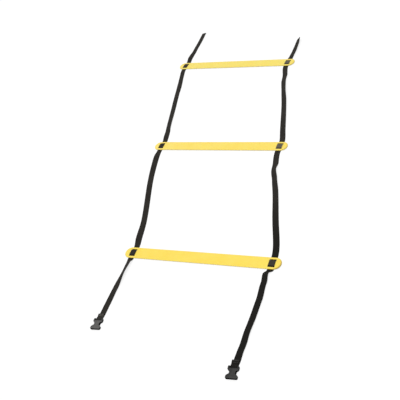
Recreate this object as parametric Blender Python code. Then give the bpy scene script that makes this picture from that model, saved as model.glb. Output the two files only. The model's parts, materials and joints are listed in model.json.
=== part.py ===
"""Agility ladder section: flat slotted rungs woven onto two webbing straps.

The ladder lies on the floor as it was laid out: +Y runs along the ladder towards its free ends,
+X runs along the middle rung, and the straps slant and lean a little between the rungs.
Each strap ends in a bare cut end at the far side and in a sewn-on buckle half at the near side.
"""

import math

import bmesh
import bpy
import numpy as np
from mathutils import Matrix, Vector

# Webbing
STRAP_WIDTH = 0.020
STRAP_THICKNESS = 0.0012
TOUCH_GAP = 0.0003
BEND_RADIUS_SHARE = 1.0          # of the webbing's thickness, where it climbs through a slot

# Rungs: flat moulded slats with round ends
RUNG_LENGTH = 0.520
RUNG_WIDTH = 0.040
RUNG_THICKNESS = 0.003
RUNG_EDGE_ROUNDING = 0.0008
STRAP_INSET = 0.028              # from a rung's tip to the middle of its strap
BRIDGE_WIDTH = 0.015             # the bar between a pair of slots
SLOT_CLIMB_ROOM = 0.0048         # slot width left over beside the webbing's thickness
SLOT_SIDE_CLEARANCE = 0.0005
SLOT_CORNER_RADIUS = 0.001
WEAVE_REACH = 0.002              # webbing that belongs to a rung, past the rung's edge

# How the rungs lie, measured from the middle rung
NEAR_RUNG_PITCH = 0.4798
NEAR_RUNG_DRIFT = 0.1284
NEAR_RUNG_TURN = math.radians(1.7)
FAR_RUNG_PITCH = 0.4796
FAR_RUNG_DRIFT = -0.1162
FAR_RUNG_TURN = math.radians(-2.8)

# Folds: half way along each bay, about a line this high above the floor
NEAR_FOLD_HEIGHT = 0.010
FAR_FOLD_HEIGHT = 0.018
FOLD_PLACE_SHARE = 0.5
NEAR_BAY_SLACK_SHARE = 0.5       # how far a strap holds its way before it turns, of the bay
FAR_BAY_SLACK_SHARE = 0.3

# Tails, from the middle of the rung to the buckle's bar or to the cut end
LEFT_BUCKLE_TAIL_REACH = 0.2466
LEFT_BUCKLE_TAIL_DRIFT = 0.0088
RIGHT_BUCKLE_TAIL_REACH = 0.3230
RIGHT_BUCKLE_TAIL_DRIFT = 0.0045
LEFT_FREE_TAIL_REACH = 0.2421
LEFT_FREE_TAIL_DRIFT = -0.0128
RIGHT_FREE_TAIL_REACH = 0.1528
RIGHT_FREE_TAIL_DRIFT = -0.0060
BUCKLE_HEADING = math.radians(7.0)
TAIL_SLACK_SHARE = 0.5
LEFT_CUT_CORNER_RADIUS = 0.001
RIGHT_CUT_CORNER_RADIUS = 0.005

# Sewn loop behind each buckle
FOLD_BACK_SLOPE = 0.009
FOLD_BACK_FLAT = 0.012
FOLD_BACK_BEND_RADIUS = 0.003
FOLD_BACK_SKEW = math.radians(2.5)
THREAD_WIDTH = 0.0007
THREAD_HEIGHT = 0.0005
STITCH_SWING = 0.0011            # half the width of a zigzag row
STITCH_ROW_MARGIN = 0.0028       # from a row to the end of the fold-back
STITCH_ROW_SPACING = 0.0046
STITCH_EDGE_MARGIN = 0.0006      # from the turn between the rows to the strap's edge
STITCH_WAVES = 3

# Buckle half: a hollow hourglass body with a bar behind it
BUCKLE_LENGTH = 0.035
BUCKLE_FRAME_WIDTH = 0.030
BUCKLE_WAIST_WIDTH = 0.0195
BUCKLE_MOUTH_WIDTH = 0.032
BUCKLE_THICKNESS = 0.008
BUCKLE_EDGE_ROUNDING = 0.0007
BUCKLE_WALL = 0.0016
BUCKLE_SIDE_WALL = 0.0045
BUCKLE_BACK_WALL = 0.004
BUCKLE_REAR_CORNER_RADIUS = 0.0025
BUCKLE_MOUTH_CORNER_RADIUS = 0.003
BAR_DIAMETER = 0.0035
BAR_REAR_MARGIN = 0.0006         # from the bar to the ends of the rails beside it
LOOP_SIDE_CLEARANCE = 0.0008
LOOP_RUN_CLEARANCE = 0.0006

# Counts of mesh steps
ROUND_END_STEPS = 14
RUN_FINENESS = 8                 # points that a strap's run is read from, for each step of its mesh
SLOT_CORNER_STEPS = 3
HALF_BAY_STEPS = 12
TAIL_STEPS = 30
FREE_TAIL_STEPS = 16
BEND_STEPS = 4
LOOP_STEPS = 10
BAR_SIDES = 20
OUTLINE_STEPS = 14
WAVE_STEPS = 8

# Cuts and edges
CUT_OVERRUN = 0.001
ROUNDED_EDGE_ANGLE = math.radians(50)
SHARP_EDGE_ANGLE = math.radians(40)

# How a stretch of strap lies. Each row gives a place along the stretch, a shift to +X as a share
# of the strap's width, and a lean that lifts the +X edge as a share of a right angle.
LEFT_BUCKLE_TAIL_SHARES = (
    (0.0, 0.0, 0.0), (0.08, 0.04, 0.27), (0.24, 0.07, 0.35), (0.50, 0.05, 0.08), (0.75, 0.07, 0.01),
    (0.90, 0.08, 0.0), (1.0, 0.0, 0.0))
RIGHT_BUCKLE_TAIL_SHARES = (
    (0.0, 0.0, 0.0), (0.044, -0.43, 0.18), (0.15, -0.20, 0.13), (0.34, 0.06, 0.10), (0.52, 0.13, 0.11),
    (0.66, 0.10, 0.14), (0.78, 0.18, 0.10), (0.86, 0.13, 0.09), (0.93, 0.10, 0.0), (1.0, 0.0, 0.0))
LEFT_FREE_TAIL_SHARES = (
    (0.0, 0.0, 0.0), (0.16, -0.15, -0.15), (0.45, -0.09, 0.03), (0.72, 0.01, 0.03), (1.0, 0.0, 0.07))
RIGHT_FREE_TAIL_SHARES = (
    (0.0, 0.0, 0.0), (0.13, 0.15, 0.13), (0.40, 0.29, 0.17), (0.70, 0.36, 0.25), (1.0, 0.34, 0.43))
LEFT_NEAR_BAY_SHARES = (
    (0.0, 0.0, 0.0), (0.08, -0.05, -0.27), (0.25, 0.03, -0.09), (0.65, -0.12, -0.11),
    (0.90, 0.06, -0.26), (1.0, 0.0, 0.0))
RIGHT_NEAR_BAY_SHARES = (
    (0.0, 0.0, 0.0), (0.30, -0.19, 0.03), (0.58, -0.03, 0.13), (0.70, -0.09, 0.24), (0.79, -0.22, 0.27),
    (0.88, 0.02, 0.02), (1.0, 0.0, 0.0))
LEFT_FAR_BAY_SHARES = (
    (0.0, 0.0, 0.0), (0.07, -0.03, -0.10), (0.19, -0.11, 0.10), (0.50, 0.01, 0.01), (0.62, 0.08, 0.03),
    (0.74, 0.20, -0.05), (0.88, 0.15, 0.05), (1.0, 0.0, 0.0))
RIGHT_FAR_BAY_SHARES = (
    (0.0, 0.0, 0.0), (0.14, -0.09, 0.07), (0.50, 0.07, 0.19), (0.65, 0.0, 0.30), (0.77, -0.03, 0.22),
    (0.87, 0.17, 0.13), (1.0, 0.0, 0.0))

# Where the buckle's outline is frame, waist and mouth, as shares of its length
FRAME_END_SHARE = 0.26
WAIST_START_SHARE = 0.46
WAIST_END_SHARE = 0.58
MOUTH_START_SHARE = 0.80

# Places that follow from the sizes above
STRAP_LIE = STRAP_THICKNESS / 2
STRAP_HALF_SPACING = RUNG_LENGTH / 2 - STRAP_INSET
RUNG_UNDERSIDE = STRAP_THICKNESS + TOUCH_GAP
SLOT_WIDTH = STRAP_THICKNESS + SLOT_CLIMB_ROOM
SLOT_LENGTH = STRAP_WIDTH + 2 * SLOT_SIDE_CLEARANCE
SLOT_OUTER = BRIDGE_WIDTH / 2 + SLOT_WIDTH
WEAVE_END = RUNG_WIDTH / 2 + WEAVE_REACH
BRIDGE_LIE = RUNG_UNDERSIDE + RUNG_THICKNESS + TOUCH_GAP + STRAP_LIE
LOOP_RADIUS = BAR_DIAMETER / 2 + TOUCH_GAP + STRAP_LIE
BAR_HEIGHT = STRAP_LIE + LOOP_RADIUS
BAR_PLACE = BAR_REAR_MARGIN + BAR_DIAMETER / 2
LOOP_BAY_END = BAR_PLACE + LOOP_RADIUS + STRAP_LIE + LOOP_RUN_CLEARANCE
LOOP_BAY_WIDTH = STRAP_WIDTH + 2 * LOOP_SIDE_CLEARANCE
FOLD_BACK_LIE = STRAP_LIE + STRAP_THICKNESS + TOUCH_GAP
NEAR_FOLD_PLACE = -NEAR_RUNG_PITCH * FOLD_PLACE_SHARE
FAR_FOLD_PLACE = FAR_RUNG_PITCH * FOLD_PLACE_SHARE

RUNGS = {
    "near": (NEAR_RUNG_DRIFT, -NEAR_RUNG_PITCH, NEAR_RUNG_TURN),
    "middle": (0.0, 0.0, 0.0),
    "far": (FAR_RUNG_DRIFT, FAR_RUNG_PITCH, FAR_RUNG_TURN),
}
SIDES = {"left": -1, "right": 1}


# Scene and materials

def clear_scene():
    for item in list(bpy.data.objects):
        bpy.data.objects.remove(item, do_unlink=True)


def plain_material(name, colour, roughness, metallic=0.0):
    material = bpy.data.materials.new(name)
    material.use_nodes = True
    shader = material.node_tree.nodes["Principled BSDF"]
    shader.inputs["Base Color"].default_value = (*colour, 1.0)
    shader.inputs["Roughness"].default_value = roughness
    shader.inputs["Metallic"].default_value = metallic
    material.diffuse_color = (*colour, 1.0)
    return material


def rung_material(name):
    return plain_material(name, (0.98, 0.75, 0.16), 0.42)


def webbing_material(name):
    return plain_material(name, (0.035, 0.033, 0.031), 0.85)


def buckle_material(name):
    return plain_material(name, (0.045, 0.045, 0.048), 0.38)


def thread_material(name):
    return plain_material(name, (0.075, 0.072, 0.068), 0.70)


# Joint axes: one empty for each body of the ladder

def axis_empty(name, place, parent=None):
    """An empty on a joint's axis, at a place of the laid-out ladder."""
    empty = bpy.data.objects.new(name, None)
    empty.empty_display_size = RUNG_WIDTH
    empty["place"] = list(place)
    empty.parent = parent
    offset = Vector(place)
    if parent is not None:
        offset = offset - Vector(parent["place"])
    empty.location = offset
    bpy.context.scene.collection.objects.link(empty)
    return empty


def link_mesh(name, mesh, material, parent, place=None, turn=0.0):
    """Add a mesh under its axis empty. Without a place, its points are places on the ladder."""
    item = bpy.data.objects.new(name, mesh)
    mesh.materials.clear()
    mesh.materials.append(material)
    item.parent = parent
    origin = Vector(parent["place"])
    if place is None:
        mesh.transform(Matrix.Translation(-origin))
    else:
        item.location = Vector(place) - origin
        item.rotation_euler = (0.0, 0.0, turn)
    bpy.context.scene.collection.objects.link(item)
    return item


def hide_cutter(item):
    item.hide_render = True
    item.display_type = "WIRE"


def cut(item, cutter, operation="DIFFERENCE"):
    step = item.modifiers.new(cutter.name, "BOOLEAN")
    step.operation = operation
    step.object = cutter
    hide_cutter(cutter)


def round_edges(item, width, segments=2):
    step = item.modifiers.new("rounded_edges", "BEVEL")
    step.width = width
    step.segments = segments
    step.limit_method = "ANGLE"
    step.angle_limit = ROUNDED_EDGE_ANGLE


def shade_round(mesh):
    mesh.shade_smooth()
    mesh.set_sharp_from_angle(angle=SHARP_EDGE_ANGLE)


# Plan geometry

def turned(vector, angle):
    """A plan vector turned about +Z."""
    c, s = math.cos(angle), math.sin(angle)
    return np.array([c * vector[0] - s * vector[1], s * vector[0] + c * vector[1]])


def rung_point(rung, across, along):
    """A plan point of a rung: across is along its length, along is in the strap's way."""
    x, y, turn = RUNGS[rung]
    return np.array([x, y]) + turned((across, along), turn)


def rung_side(rung):
    """Unit vector along a rung, which is square to the straps that pass through it."""
    return np.append(turned((1.0, 0.0), RUNGS[rung][2]), 0.0)


def smooth_run(start, start_way, end, end_way, slack_share, steps):
    """Plan points of a cubic that leaves start along start_way and reaches end along end_way."""
    t = np.linspace(0.0, 1.0, steps + 1)[:, None]
    pull = np.linalg.norm(end - start) * slack_share
    leaving = (t ** 3 - 2 * t ** 2 + t) * pull * start_way
    arriving = (t ** 3 - t ** 2) * pull * end_way
    blend = 3 * t ** 2 - 2 * t ** 3
    return start * (1 - blend) + end * blend + leaving + arriving


def travelled(points):
    """How far along its run each point lies, from 0 to 1."""
    steps = np.linalg.norm(np.diff(points, axis=0), axis=1)
    run = np.concatenate([[0.0], np.cumsum(steps)])
    return run / run[-1]


def between_knots(place, knots, column):
    """A column of a share table read smoothly between its rows."""
    rows = np.array(knots)
    low = np.clip(np.searchsorted(rows[:, 0], place, side="right") - 1, 0, len(rows) - 2)
    part = np.clip((place - rows[low, 0]) / (rows[low + 1, 0] - rows[low, 0]), 0.0, 1.0)
    eased = part * part * (3 - 2 * part)
    return rows[low, column] * (1 - eased) + rows[low + 1, column] * eased


def plan_sides(points):
    """Unit plan vectors square to the run, always on its +X side."""
    way = np.gradient(points, axis=0)
    way /= np.linalg.norm(way, axis=1)[:, None]
    side = np.stack([way[:, 1], -way[:, 0]], axis=1)
    return side * np.sign(side[:, :1])


def lay_strap(points, shares, place=None):
    """Centres and side vectors of webbing on the floor, shifted and leaning by a share table.

    A shift skews the webbing and doesn't turn it, so its sides stay square to the run before the shift.
    """
    place = travelled(points) if place is None else place
    side = plan_sides(points)
    shifted = points + side * (between_knots(place, shares, 1) * STRAP_WIDTH)[:, None]
    lean = between_knots(place, shares, 2) * math.pi / 2
    lift = STRAP_WIDTH / 2 * np.abs(np.sin(lean)) + STRAP_LIE * np.cos(lean)
    centres = np.column_stack([shifted, lift])
    sides = np.column_stack([side * np.cos(lean)[:, None], np.sin(lean)])
    return centres, sides


# Bands of webbing and thread

def band_mesh(name, centres, sides, widths=STRAP_WIDTH, thickness=STRAP_THICKNESS):
    """A closed band: a rectangle carried along the centres, with its width along the side vectors."""
    count = len(centres)
    widths = np.broadcast_to(widths, count)
    way = np.gradient(centres, axis=0)
    normals = np.cross(sides, way)
    normals /= np.linalg.norm(normals, axis=1)[:, None]
    normals *= np.sign(normals[0, 2])
    half_side = sides * widths[:, None] / 2
    half_thick = normals * thickness / 2
    rings = np.stack([
        centres + half_side + half_thick, centres + half_side - half_thick,
        centres - half_side - half_thick, centres - half_side + half_thick], axis=1)
    faces = [(0, 1, 2, 3), tuple(4 * (count - 1) + k for k in (3, 2, 1, 0))]
    for i in range(count - 1):
        for k in range(4):
            n = (k + 1) % 4
            faces.append((4 * i + n, 4 * i + k, 4 * i + 4 + k, 4 * i + 4 + n))
    mesh = bpy.data.meshes.new(name)
    mesh.from_pydata([tuple(p) for p in rings.reshape(-1, 3)], [], faces)
    face_outwards(mesh)
    return mesh


def face_outwards(mesh):
    shape = bmesh.new()
    shape.from_mesh(mesh)
    bmesh.ops.recalc_face_normals(shape, faces=shape.faces)
    shape.to_mesh(mesh)
    shape.free()
    mesh.update()


def s_bend(run, rise, radius):
    """Points of two equal arcs joined by a straight, from (0, 0) to (run, rise), level at both ends."""
    height = rise - 2 * radius
    angle = math.asin(2 * radius / math.hypot(run, height)) + math.atan2(height, run)
    turn = np.linspace(0.0, angle, BEND_STEPS + 1)
    first = np.column_stack([radius * np.sin(turn), radius * (1 - np.cos(turn))])
    second = np.array([run, rise]) - first[::-1]
    return np.vstack([first, second])


def weave_profile():
    """The webbing's centre line through one rung: along the strap, and above the floor."""
    radius = STRAP_THICKNESS * BEND_RADIUS_SHARE
    climb = s_bend(SLOT_WIDTH, BRIDGE_LIE - STRAP_LIE, radius) + np.array([-SLOT_OUTER, STRAP_LIE])
    fall = climb[::-1] * np.array([-1, 1])
    start = np.array([[-WEAVE_END, STRAP_LIE]])
    return np.vstack([start, climb, fall, -start * np.array([1, -1])])


def build_weave(side, rung, parent):
    """The stretch of one strap that goes under a rung's rim, over its bridge and down again."""
    profile = weave_profile()
    across = SIDES[side] * STRAP_HALF_SPACING
    plan = np.array([rung_point(rung, across, along) for along in profile[:, 0]])
    centres = np.column_stack([plan, profile[:, 1]])
    name = f"strap_{side}_through_{rung}_rung"
    mesh = band_mesh(name, centres, np.tile(rung_side(rung), (len(centres), 1)))
    return link_mesh(name, mesh, webbing_material(name), parent)


def bay_run(side, first, second, slack_share):
    """Plan points of one strap across a bay, from the first rung's weave to the second's."""
    across = SIDES[side] * STRAP_HALF_SPACING
    start = rung_point(first, across, WEAVE_END + TOUCH_GAP)
    end = rung_point(second, across, -WEAVE_END - TOUCH_GAP)
    start_way = turned((0.0, 1.0), RUNGS[first][2])
    end_way = turned((0.0, 1.0), RUNGS[second][2])
    return smooth_run(start, start_way, end, end_way, slack_share, HALF_BAY_STEPS * RUN_FINENESS)


def split_bay(points, fold_place):
    """Two lists of plan points that stop either side of the fold line, with the gap between them."""
    place = travelled(points)
    near_end = np.interp(fold_place - TOUCH_GAP / 2, points[:, 1], place)
    far_start = np.interp(fold_place + TOUCH_GAP / 2, points[:, 1], place)
    halves = []
    for low, high in ((0.0, near_end), (far_start, 1.0)):
        at = np.linspace(low, high, HALF_BAY_STEPS + 1)
        x = np.interp(at, place, points[:, 0])
        y = np.interp(at, place, points[:, 1])
        halves.append((np.column_stack([x, y]), at))
    return halves


def build_bay(side, bay, rungs, fold_place, slack_share, shares, parents):
    """One strap across a bay, in two halves that meet at the fold line, each cut along that line."""
    halves = split_bay(bay_run(side, *rungs, slack_share), fold_place)
    for rung, half, parent, rung_end, fold_end in zip(rungs, halves, parents, (0, -1), (-1, 0)):
        points, place = half
        centres, sides = lay_strap(points, shares, place)
        sides[rung_end] = rung_side(rung)
        sides[fold_end] = np.array([1.0 / sides[fold_end, 0], 0.0, 0.0])
        name = f"strap_{side}_{bay}_bay_by_{rung}_rung"
        mesh = band_mesh(name, centres, sides)
        link_mesh(name, mesh, webbing_material(name), parent)


# Buckle tails

def bar_plan(side):
    """Plan place of a buckle's bar."""
    reach, drift = {
        "left": (LEFT_BUCKLE_TAIL_REACH, LEFT_BUCKLE_TAIL_DRIFT),
        "right": (RIGHT_BUCKLE_TAIL_REACH, RIGHT_BUCKLE_TAIL_DRIFT),
    }[side]
    return rung_point("near", SIDES[side] * STRAP_HALF_SPACING, 0.0) + np.array([drift, -reach])


def buckle_way():
    """Plan way from a buckle's bar to its mouth."""
    return turned((0.0, -1.0), BUCKLE_HEADING)


def fold_back_profile():
    """The loop's centre line: over the bar and back down onto the strap, from the bar's underside."""
    turn = np.linspace(-math.pi / 2, math.pi / 2, LOOP_STEPS + 1)
    loop = np.column_stack([LOOP_RADIUS * np.cos(turn), BAR_HEIGHT + LOOP_RADIUS * np.sin(turn)])
    top = BAR_HEIGHT + LOOP_RADIUS
    slope = s_bend(FOLD_BACK_SLOPE, top - FOLD_BACK_LIE, FOLD_BACK_BEND_RADIUS)
    slope = slope * np.array([-1, -1]) + np.array([0.0, top])
    end = np.array([[-FOLD_BACK_SLOPE - FOLD_BACK_FLAT, FOLD_BACK_LIE]])
    return np.vstack([loop, slope[1:], end])


def build_buckle_tail(side, shares, parent):
    """From the near rung to the buckle, round its bar and back on top of itself."""
    start = rung_point("near", SIDES[side] * STRAP_HALF_SPACING, -WEAVE_END - TOUCH_GAP)
    start_way = turned((0.0, -1.0), NEAR_RUNG_TURN)
    run = smooth_run(start, start_way, bar_plan(side), buckle_way(), TAIL_SLACK_SHARE, TAIL_STEPS)
    centres, sides = lay_strap(run, shares)
    end_side = np.append(turned((1.0, 0.0), BUCKLE_HEADING), 0.0)
    sides[0], sides[-1] = rung_side("near"), end_side
    profile = fold_back_profile()[1:]
    skew = np.clip(-profile[:, 0], 0.0, None) * math.tan(FOLD_BACK_SKEW)
    way = np.append(buckle_way(), 0.0)
    loop = np.append(bar_plan(side), 0.0) + profile[:, :1] * way - skew[:, None] * end_side
    loop[:, 2] = profile[:, 1]
    name = f"strap_{side}_buckle_tail"
    all_sides = np.vstack([sides, np.tile(end_side, (len(loop), 1))])
    mesh = band_mesh(name, np.vstack([centres, loop]), all_sides)
    return link_mesh(name, mesh, webbing_material(name), parent)


def stitch_run():
    """One thread: a zigzag row across the strap, a round turn, and a zigzag row back."""
    turn_radius = STITCH_ROW_SPACING / 2
    reach = STRAP_WIDTH / 2 - STITCH_EDGE_MARGIN - THREAD_WIDTH / 2 - turn_radius
    u = np.linspace(0.0, 1.0, STITCH_WAVES * WAVE_STEPS + 1)
    swing = STITCH_SWING * np.sin(2 * math.pi * STITCH_WAVES * u) * np.sin(math.pi * u)
    row = np.column_stack([reach * (2 * u - 1), swing])
    angle = np.linspace(-math.pi / 2, math.pi / 2, BEND_STEPS * 2 + 1)[1:-1]
    turn = np.column_stack([reach + turn_radius * np.cos(angle), turn_radius * (1 + np.sin(angle))])
    back = row[::-1] + np.array([0.0, STITCH_ROW_SPACING])
    return np.vstack([row, turn, back])


def build_stitching(side, parent):
    """The thread that sews the fold-back down, on top of it."""
    run = stitch_run()
    way, across = buckle_way(), turned((1.0, 0.0), BUCKLE_HEADING)
    back = FOLD_BACK_SLOPE + FOLD_BACK_FLAT - STITCH_ROW_MARGIN - run[:, 1]
    shift = run[:, 0] - back * math.tan(FOLD_BACK_SKEW)
    plan = bar_plan(side) - back[:, None] * way + shift[:, None] * across
    height = FOLD_BACK_LIE + STRAP_LIE + TOUCH_GAP + THREAD_HEIGHT / 2
    centres = np.column_stack([plan, np.full(len(plan), height)])
    forward = np.gradient(plan, axis=0)
    forward /= np.linalg.norm(forward, axis=1)[:, None]
    sides = np.column_stack([forward[:, 1], -forward[:, 0], np.zeros(len(plan))])
    name = f"stitching_{side}"
    mesh = band_mesh(name, centres, sides, THREAD_WIDTH, THREAD_HEIGHT)
    return link_mesh(name, mesh, thread_material(name), parent)


# Free tails

def build_free_tail(side, reach, drift, shares, corner_radius, parent):
    """From the far rung to the bare cut end, whose corners are rounded."""
    across = SIDES[side] * STRAP_HALF_SPACING
    start = rung_point("far", across, WEAVE_END + TOUCH_GAP)
    end = rung_point("far", across, 0.0) + np.array([drift, reach])
    start_way = turned((0.0, 1.0), FAR_RUNG_TURN)
    end_way = turned((0.0, 1.0), math.atan2(-drift, reach))
    run = smooth_run(start, start_way, end, end_way, TAIL_SLACK_SHARE, FREE_TAIL_STEPS * RUN_FINENESS)
    length = np.sum(np.linalg.norm(np.diff(run, axis=0), axis=1))
    corner = np.sin(np.linspace(0.0, math.pi / 2, BEND_STEPS + 1))
    plain = np.linspace(0.0, 1 - corner_radius / length, FREE_TAIL_STEPS + 1)
    at = np.concatenate([plain, plain[-1] + corner[1:] * corner_radius / length])
    place = travelled(run)
    points = np.column_stack([np.interp(at, place, run[:, 0]), np.interp(at, place, run[:, 1])])
    trimmed = 2 * corner_radius * (1 - np.cos(np.arcsin(corner[1:])))
    widths = STRAP_WIDTH - np.concatenate([np.zeros(len(plain)), trimmed])
    centres, sides = lay_strap(points, shares, at)
    sides[0] = rung_side("far")
    name = f"strap_{side}_free_tail"
    mesh = band_mesh(name, centres, sides, widths)
    return link_mesh(name, mesh, webbing_material(name), parent)


# Rungs

def prism(shape, outline, low, high):
    """A closed prism over a plan outline, added to a bmesh."""
    base = [shape.verts.new((x, y, low)) for x, y in outline]
    face = shape.faces.new(base)
    moved = bmesh.ops.extrude_face_region(shape, geom=[face])["geom"]
    top = [v for v in moved if isinstance(v, bmesh.types.BMVert)]
    bmesh.ops.translate(shape, verts=top, vec=(0.0, 0.0, high - low))


def finish_mesh(name, shape):
    bmesh.ops.recalc_face_normals(shape, faces=shape.faces)
    mesh = bpy.data.meshes.new(name)
    shape.to_mesh(mesh)
    shape.free()
    return mesh


def arc(centre, radius, start, end, steps):
    """Plan points along an arc, anticlockwise from one angle to another."""
    angle = np.linspace(start, end, steps + 1)
    return centre + radius * np.column_stack([np.cos(angle), np.sin(angle)])


def rounded_box(length, width, radius, steps):
    """Plan outline of a box centred on the origin, with its corners rounded."""
    corners = []
    for quarter, (sx, sy) in enumerate(((1, 1), (-1, 1), (-1, -1), (1, -1))):
        centre = np.array([sx * (length / 2 - radius), sy * (width / 2 - radius)])
        start = quarter * math.pi / 2
        corners.append(arc(centre, radius, start, start + math.pi / 2, steps))
    return np.vstack(corners)


def slat_outline():
    """Plan outline of a rung: two long sides and two half-round ends."""
    radius = RUNG_WIDTH / 2
    middle = np.array([RUNG_LENGTH / 2 - radius, 0.0])
    right = arc(middle, radius, -math.pi / 2, math.pi / 2, ROUND_END_STEPS)
    return np.vstack([right, -right])


def slot_cutter_mesh(name):
    """Four slots: a pair beside each bridge."""
    shape = bmesh.new()
    for sign in SIDES.values():
        for edge in (-1, 1):
            centre = np.array([sign * STRAP_HALF_SPACING, edge * (BRIDGE_WIDTH + SLOT_WIDTH) / 2])
            outline = rounded_box(SLOT_LENGTH, SLOT_WIDTH, SLOT_CORNER_RADIUS, SLOT_CORNER_STEPS)
            prism(shape, outline + centre, -CUT_OVERRUN, RUNG_THICKNESS + CUT_OVERRUN)
    return finish_mesh(name, shape)


def build_rung(rung, parent):
    """A flat slat with half-round ends, a rounded rim and its four slots."""
    name = f"rung_{rung}"
    shape = bmesh.new()
    prism(shape, slat_outline(), 0.0, RUNG_THICKNESS)
    x, y, turn = RUNGS[rung]
    place = (x, y, RUNG_UNDERSIDE)
    material = rung_material(name)
    item = link_mesh(name, finish_mesh(name, shape), material, parent, place, turn)
    round_edges(item, RUNG_EDGE_ROUNDING)
    slots = slot_cutter_mesh(f"{name}_slots")
    cut(item, link_mesh(slots.name, slots, material, parent, place, turn))
    shade_round(item.data)
    return item


# Buckles

def buckle_half_width(along):
    """Half the buckle's width at a distance from its rear end, with the corners rounded."""
    share = along / BUCKLE_LENGTH
    frame, waist, mouth = BUCKLE_FRAME_WIDTH / 2, BUCKLE_WAIST_WIDTH / 2, BUCKLE_MOUTH_WIDTH / 2
    knots = (
        (0.0, frame), (FRAME_END_SHARE, frame), (WAIST_START_SHARE, waist),
        (WAIST_END_SHARE, waist), (MOUTH_START_SHARE, mouth), (1.0, mouth))
    width = between_knots(share, knots, 1)
    for from_end, radius in (
            (along, BUCKLE_REAR_CORNER_RADIUS), (BUCKLE_LENGTH - along, BUCKLE_MOUTH_CORNER_RADIUS)):
        short = np.clip(radius - from_end, 0.0, radius)
        width = width - (radius - np.sqrt(radius ** 2 - short ** 2))
    return width


def buckle_outline():
    """Plan outline with the bar's line at the origin and the mouth towards -Y."""
    corner = 1 - np.cos(np.linspace(0.0, math.pi / 2, BEND_STEPS + 1))
    rear = corner * BUCKLE_REAR_CORNER_RADIUS
    front = BUCKLE_LENGTH - corner[::-1] * BUCKLE_MOUTH_CORNER_RADIUS
    middle = np.linspace(rear[-1], front[0], OUTLINE_STEPS + 1)[1:-1]
    along = np.concatenate([rear, middle, front])
    half = buckle_half_width(along)
    right = np.column_stack([half, BAR_PLACE - along])
    left = right[::-1] * np.array([-1, 1])
    return np.vstack([right, left])


def cutter_box(shape, low, high):
    size = Vector(high) - Vector(low)
    middle = (Vector(high) + Vector(low)) / 2
    lie = Matrix.Translation(middle) @ Matrix.Diagonal((*size, 1.0))
    bmesh.ops.create_cube(shape, size=1.0, matrix=lie)


def buckle_cutter_mesh(name):
    """The open bay round the bar, and the hollow that opens at the mouth and beside the waist."""
    shape = bmesh.new()
    cutter_box(
        shape, (-LOOP_BAY_WIDTH / 2, BAR_PLACE - LOOP_BAY_END, -CUT_OVERRUN),
        (LOOP_BAY_WIDTH / 2, BAR_PLACE + CUT_OVERRUN, BUCKLE_THICKNESS + CUT_OVERRUN))
    half = BUCKLE_MOUTH_WIDTH / 2 - BUCKLE_SIDE_WALL
    back = BAR_PLACE - LOOP_BAY_END - BUCKLE_BACK_WALL
    cutter_box(
        shape, (-half, BAR_PLACE - BUCKLE_LENGTH - CUT_OVERRUN, BUCKLE_WALL),
        (half, back, BUCKLE_THICKNESS - BUCKLE_WALL))
    return finish_mesh(name, shape)


def bar_mesh(name):
    """The round bar that the strap loops over, let into both rails."""
    shape = bmesh.new()
    reach = (LOOP_BAY_WIDTH + BUCKLE_FRAME_WIDTH) / 2
    lie = Matrix.Translation((0.0, 0.0, BAR_HEIGHT)) @ Matrix.Rotation(math.pi / 2, 4, "Y")
    bmesh.ops.create_cone(
        shape, cap_ends=True, segments=BAR_SIDES, radius1=BAR_DIAMETER / 2, radius2=BAR_DIAMETER / 2,
        depth=reach, matrix=lie)
    return finish_mesh(name, shape)


def build_buckle(side, parent):
    """The socket half of a side-release buckle, with its bar on the swing axis."""
    name = f"buckle_{side}"
    shape = bmesh.new()
    prism(shape, buckle_outline(), 0.0, BUCKLE_THICKNESS)
    plan = bar_plan(side)
    place = (plan[0], plan[1], 0.0)
    material = buckle_material(name)
    item = link_mesh(name, finish_mesh(name, shape), material, parent, place, BUCKLE_HEADING)
    round_edges(item, BUCKLE_EDGE_ROUNDING)
    hollows = buckle_cutter_mesh(f"{name}_hollows")
    cut(item, link_mesh(hollows.name, hollows, material, parent, place, BUCKLE_HEADING))
    bar = bar_mesh(f"{name}_bar")
    cut(item, link_mesh(bar.name, bar, material, parent, place, BUCKLE_HEADING), "UNION")
    shade_round(item.data)
    return item


# The whole ladder

def lay_box(items):
    """Lowest and highest corner of all the pieces."""
    bpy.context.view_layer.update()
    corners = [item.matrix_world @ v.co for item in items for v in item.data.vertices]
    return np.min(corners, axis=0), np.max(corners, axis=0)


def build_axes():
    """The tree of empties: the straps by the middle rung carry the folds, the folds carry the rest."""
    ladder = axis_empty("ladder", (0.0, 0.0, 0.0))
    near = axis_empty("near_fold_axis", (0.0, NEAR_FOLD_PLACE, NEAR_FOLD_HEIGHT), ladder)
    far = axis_empty("far_fold_axis", (0.0, FAR_FOLD_PLACE, FAR_FOLD_HEIGHT), ladder)
    axes = {"middle_straps": ladder, "near_straps": near, "far_straps": far}
    carriers = {"near": near, "middle": ladder, "far": far}
    for rung, (x, y, _) in RUNGS.items():
        axes[f"{rung}_rung"] = axis_empty(f"{rung}_rung_slide", (x, y, RUNG_UNDERSIDE), carriers[rung])
    for side in SIDES:
        x, y = bar_plan(side)
        axes[f"{side}_buckle"] = axis_empty(f"{side}_buckle_axis", (x, y, BAR_HEIGHT), near)
    return axes


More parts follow.
